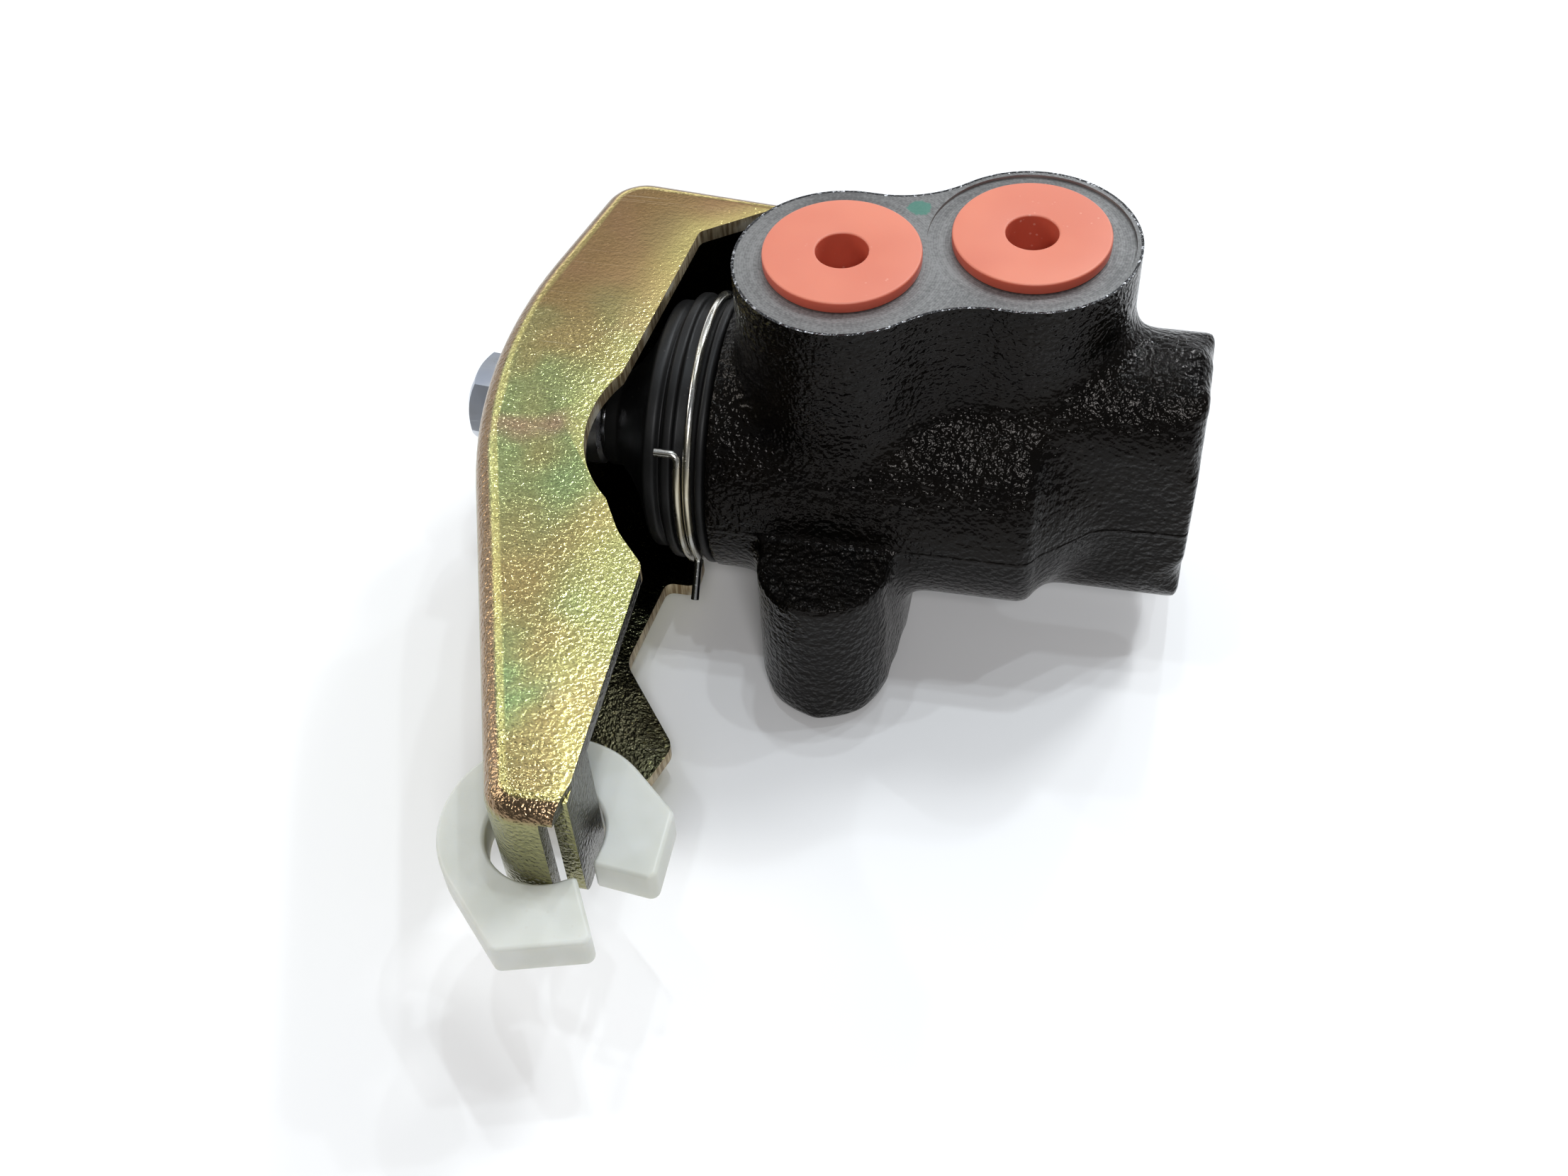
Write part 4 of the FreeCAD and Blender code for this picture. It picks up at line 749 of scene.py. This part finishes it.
def buildBoot():
    form = bootForm
    outside = [(-18.56, 20.2), (-18.9, 20.75), (-19.8, 20.75), (-20.1, 19.75), (-23.4, 19.75),
               (-23.7, 20.55), (-25.0, 20.5), (-25.8, 18.4), (-26.6, 19.1), (-28.1, 19.1), (-29.2, 16.6),
               (-31.0, 12.9), (-33.4, 9.4), (-35.3, 7.45), (-37.4, 7.4)]
    inside = [(-37.4, 5.08), (-34.6, 5.08), (-32.6, 7.6), (-29.8, 11.6), (-27.4, 15.8), (-24.1, 16.9),
              (-24.1, 18.06), (-18.56, 18.06)]
    bm = spun(outside + inside, (0, form["axisY"], form["axisZ"]), (1, 0, 0), form["steps"])
    bevelSharp(bm, form["round"], 12, 4)
    stretch = [tuple(point(x, form["axisY"], form["axisZ"])) for x in (form["held"], form["free"])]
    finishPiece("dustBoot", bm, [bootRubber], stretch, "rubber_boot", 60)


# Boot clip
clipForm = {"axisY": 24.5, "axisZ": 27.0, "ring": 20.45, "wire": 0.63, "start": 203.0, "turn": 413.0,
            "pitch": 1.45, "startX": -20.92, "steps": 150, "sides": 14}


def bendFace(bm, face, centre, axis, degrees, steps=6):
    # sweeps an end face round a bend and returns the new end
    swept = bmesh.ops.spin(bm, geom=[face], cent=centre, axis=axis, angle=math.radians(degrees), steps=steps)
    return [item for item in swept["geom_last"] if isinstance(item, bmesh.types.BMFace)][0]


def pullFace(bm, face, shift):
    grown = bmesh.ops.extrude_face_region(bm, geom=[face])["geom"]
    bmesh.ops.translate(bm, verts=[item for item in grown if isinstance(item, bmesh.types.BMVert)],
                        vec=shift)
    return [item for item in grown if isinstance(item, bmesh.types.BMFace)][0]


def buildClip():
    # wire wound a turn and a bit, its first end bent out and down, its last end a pin away from the body
    form = clipForm
    centre = point(form["startX"], form["axisY"], form["axisZ"])
    angle = math.radians(form["start"])
    radial = Vector((0, math.cos(angle), math.sin(angle)))
    tangent = Vector((0, -math.sin(angle), math.cos(angle)))
    bm = bmesh.new()
    made = bmesh.ops.create_circle(bm, cap_ends=True, cap_tris=False, segments=form["sides"],
                                   radius=form["wire"] * mm)
    turn = Matrix((Vector((1, 0, 0)), radial, tangent)).transposed().to_4x4()
    bmesh.ops.transform(bm, matrix=Matrix.Translation(centre + radial * form["ring"] * mm) @ turn,
                        verts=made["verts"])
    startFace = bm.faces[:][0]
    tail = startFace.copy()
    drop = -form["pitch"] * form["turn"] / 360 / form["steps"]
    swept = bmesh.ops.spin(bm, geom=[startFace], cent=centre, axis=(1, 0, 0), dvec=point(drop, 0, 0),
                           angle=-math.radians(form["turn"]), steps=form["steps"])
    lastFace = [item for item in swept["geom_last"] if isinstance(item, bmesh.types.BMFace)][0]
    # the first end runs straight on, then kinks outwards
    tail = pullFace(bm, tail, tangent * 1.6 * mm)
    tail = bendFace(bm, tail, tail.calc_center_median() + radial * 1.4 * mm, Vector((1, 0, 0)), -62)
    lean = math.radians(-62)
    heading = tangent * math.cos(lean) - radial * math.sin(lean)
    tail = pullFace(bm, tail, heading * 5.8 * mm)
    # the last end turns into a short pin along -X
    last = math.radians(form["start"] - form["turn"])
    outward = Vector((0, math.cos(last), math.sin(last)))
    onward = Vector((0, math.sin(last), -math.cos(last)))
    bendCentre = lastFace.calc_center_median() + Vector((-1.1 * mm, 0, 0))
    lastFace = bendFace(bm, lastFace, bendCentre, outward, 90 if onward.cross(Vector((-1, 0, 0))).dot(
        outward) > 0 else -90, 8)
    pullFace(bm, lastFace, point(-2.3, 0, 0))
    bmesh.ops.remove_doubles(bm, verts=bm.verts, dist=0.001 * mm)
    finishPiece("wireClip", bm, [wireSteel], "housing", "boot_clip", 50)


buildBoot()
buildClip()
print("boot and clip built")


# Lever
leverForm = {"edge": 0.28, "sheet": 2.3, "backCentre": (29.5, 15.7), "backInner": 76.0,
             "webFrom": 60.0, "middle": 27.0,
             "waistCut": (40.0, 55.0), "waistCentre": (-13.1, 2.5), "waistRadius": 20.0}


def buildLever():
    form = leverForm
    piece = looseObject("leverBlank", cleanCopy("lever"))
    low, high = form["waistCut"]
    cutter = looseObject("waistCutter", spun([(low, 0), (low, form["waistRadius"]),
                                              (high, form["waistRadius"]), (high, 0)],
                                             (*form["waistCentre"], 0), (0, 0, 1), 160))
    change = piece.modifiers.new("waist", "BOOLEAN")
    change.operation = "DIFFERENCE"
    change.solver = "EXACT"
    change.object = cutter
    bm = bmesh.new()
    bm.from_mesh(bakeModifiers(piece))
    bpy.data.objects.remove(cutter)
    bpy.data.objects.remove(piece)
    for face in bm.faces:
        rise = [vert.co.z for vert in face.verts]
        middle = face.calc_center_median()
        away = (middle.xy - Vector(form["backCentre"]) * mm).length
        thin = max(rise) - min(rise) < (form["sheet"] + 0.1) * mm
        inward = (Vector(form["backCentre"]) * mm - middle.xy).dot(face.normal.xy) > 0
        upper = middle.z > form["middle"] * mm
        if thin and abs(face.normal.z) < 0.3 and away < form["backInner"] * mm:
            face.material_index = 1
        # faces inside the channel (the upper flange's underside, the lower flange's top and the inner web)
        # get the dark zinc, painted near black as shade
        elif (face.normal.z < -0.7) if upper else (face.normal.z > 0.7):
            face.material_index = 2
        elif inward and away > form["webFrom"] * mm:
            face.material_index = 2
    bevelSharp(bm, form["edge"], 40, 3)
    finishPiece("stampedLever", bm, [zinc, zincEdge, insideShadeZinc], "lever_arm", "lever", 25)


def softCopy(name, node, width, materials, body, angle=30, sharp=30):
    bm = cleanCopy(node)
    bevelSharp(bm, width, angle, 3)
    finishPiece(name, bm, materials, body, node, sharp)


buildLever()
softCopy("noseBush", "nose_bush", 0.22, [bushPlastic], "lever_arm", 30, 30)
softCopy("adjusterCap", "adjuster_cap", 0.25, [capPlastic], "lever_arm", 30)
softCopy("lockNut", "lock_nut", 0.12, [platedSteel], "lever_arm", 30)
softCopy("adjustingScrew", "adjusting_screw", 0.15, [platedSteel], "lever_arm", 30)
softCopy("pivotPin", "pivot_pin", 0.2, [pinSteel], "lever_arm", 30)
print("lever and its pieces built")

# Pieces that stay as the CAD made them
cadMaterials = {
    "plunger": groundSteel, "spring_seat": blackSteel, "metering_seal": sealRubber,
    "seal_retainer": bronze, "guide_bush": groundSteel, "gland_o_ring": sealRubber,
    "backup_ring": ringPlastic, "plunger_seal": sealRubber, "retaining_ring": blackSteel,
    "return_spring": wireSteel, "pivot_bush_upper": bronze, "pivot_bush_lower": bronze,
    "pivot_clip": blackSteel,
}
for node, material in cadMaterials.items():
    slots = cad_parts[node].data.materials
    for index in range(len(slots)):
        slots[index] = material
print("carried-over nodes dressed")

# Floor, lamps, world and camera
stageForm = {"floorHalf": 1500.0, "floorColor": (0.88, 0.87, 0.86, 1), "world": (0.95, 0.97, 1.0, 1),
             "dim": 0.18, "bright": 2.0,
             "sky": [(0.0, 0.08), (0.10, 0.12), (0.15, 0.9), (0.29, 0.95), (0.34, 0.0), (0.42, 0.02),
                     (0.52, 0.12), (0.66, 0.18), (0.74, 0.32), (0.88, 0.30), (0.98, 0.05)]}
lamps = [
    # name, place, target, size, watts, colour
    ("windowBack", (330, 420, 620), (0, 20, 30), 130, 2.0, (0.92, 0.96, 1.0)),
    ("softFront", (160, -560, 640), (0, 0, 30), 220, 2.8, (0.98, 0.98, 1.0)),
    ("softLeft", (-620, -60, 360), (-30, 0, 30), 260, 1.4, (1.0, 0.97, 0.92)),
]
sparkDirections = [(0.10, 0.52, 0.85), (0.45, 0.30, 0.84), (0.30, 0.80, 0.45), (0.10, 0.12, 0.98),
                   (-0.14, 0.05, 0.99), (0.30, 0.08, 0.95), (0.02, 0.20, 0.98), (-0.60, 0.35, 0.72)]
sparkForm = {"distance": 700.0, "size": 15.0, "watts": 0.34, "color": (0.85, 0.93, 1.0)}


def buildStage():
    form = stageForm
    bm = bmesh.new()
    bmesh.ops.create_grid(bm, x_segments=1, y_segments=1, size=form["floorHalf"] * mm)
    bmesh.ops.translate(bm, verts=bm.verts, vec=point(0, 0, -0.15))
    material, tree, surface, place = newMaterial("paleFloor", Roughness=0.7)
    surface.inputs["Base Color"].default_value = form["floorColor"]
    mesh = bpy.data.meshes.new("floor")
    bm.to_mesh(mesh)
    bm.free()
    mesh.materials.append(material)
    floor = bpy.data.objects.new("floor", mesh)
    bpy.context.scene.collection.objects.link(floor)
    spark = sparkForm
    sparks = [(f"spark{index}", [part * spark["distance"] for part in way], (0, 20, 30), spark["size"],
               spark["watts"], spark["color"]) for index, way in enumerate(sparkDirections)]
    for name, place, target, size, watts, color in lamps + sparks:
        light = bpy.data.lights.new(name, "AREA")
        light.size = size * mm
        light.energy = watts
        light.color = color
        lamp = bpy.data.objects.new(name, light)
        lamp.location = point(*place)
        lamp.rotation_euler = (point(*place) - point(*target)).to_track_quat("Z", "Y").to_euler()
        bpy.context.scene.collection.objects.link(lamp)
    world = bpy.data.worlds.new("room")
    world.use_nodes = True
    tree = world.node_tree
    way = tree.nodes.new("ShaderNodeTexCoord").outputs["Generated"]
    parts = addNode(tree, "SeparateXYZ", None, Vector=way).outputs
    y, z = parts["Y"], parts["Z"]
    behind = mapRange(tree, y, 0.12, 0.5)
    sky = ramp(tree, z, *[(height, (level, level, level, 1)) for height, level in form["sky"]])
    glow = calc(tree, "MULTIPLY", calc(tree, "MULTIPLY", sky, behind), form["bright"])
    glow = calc(tree, "ADD", glow, form["dim"])
    back = tree.nodes["Background"]
    back.inputs["Color"].default_value = form["world"]
    tree.links.new(glow, back.inputs["Strength"])
    bpy.context.scene.world = world


cameraForm = {"place": (37.267, -170.222, 227.971), "right": (0.9794, 0.1973, -0.0426),
              "up": (-0.1241, 0.7550, 0.6439), "back": (0.1592, -0.6254, 0.7639), "lens": 42.14}


def buildCamera():
    form = cameraForm
    data = bpy.data.cameras.new("photoCamera")
    data.lens = form["lens"]
    data.sensor_width = 36.0
    data.sensor_fit = "HORIZONTAL"
    data.clip_start = 0.01
    camera = bpy.data.objects.new("photoCamera", data)
    turn = Matrix((form["right"], form["up"], form["back"])).transposed().to_4x4()
    camera.matrix_world = Matrix.Translation(point(*form["place"])) @ turn
    bpy.context.scene.collection.objects.link(camera)
    bpy.context.scene.camera = camera


buildStage()
buildCamera()
bpy.context.scene.view_settings.view_transform = "Standard"
print("stage, lamps and camera set")
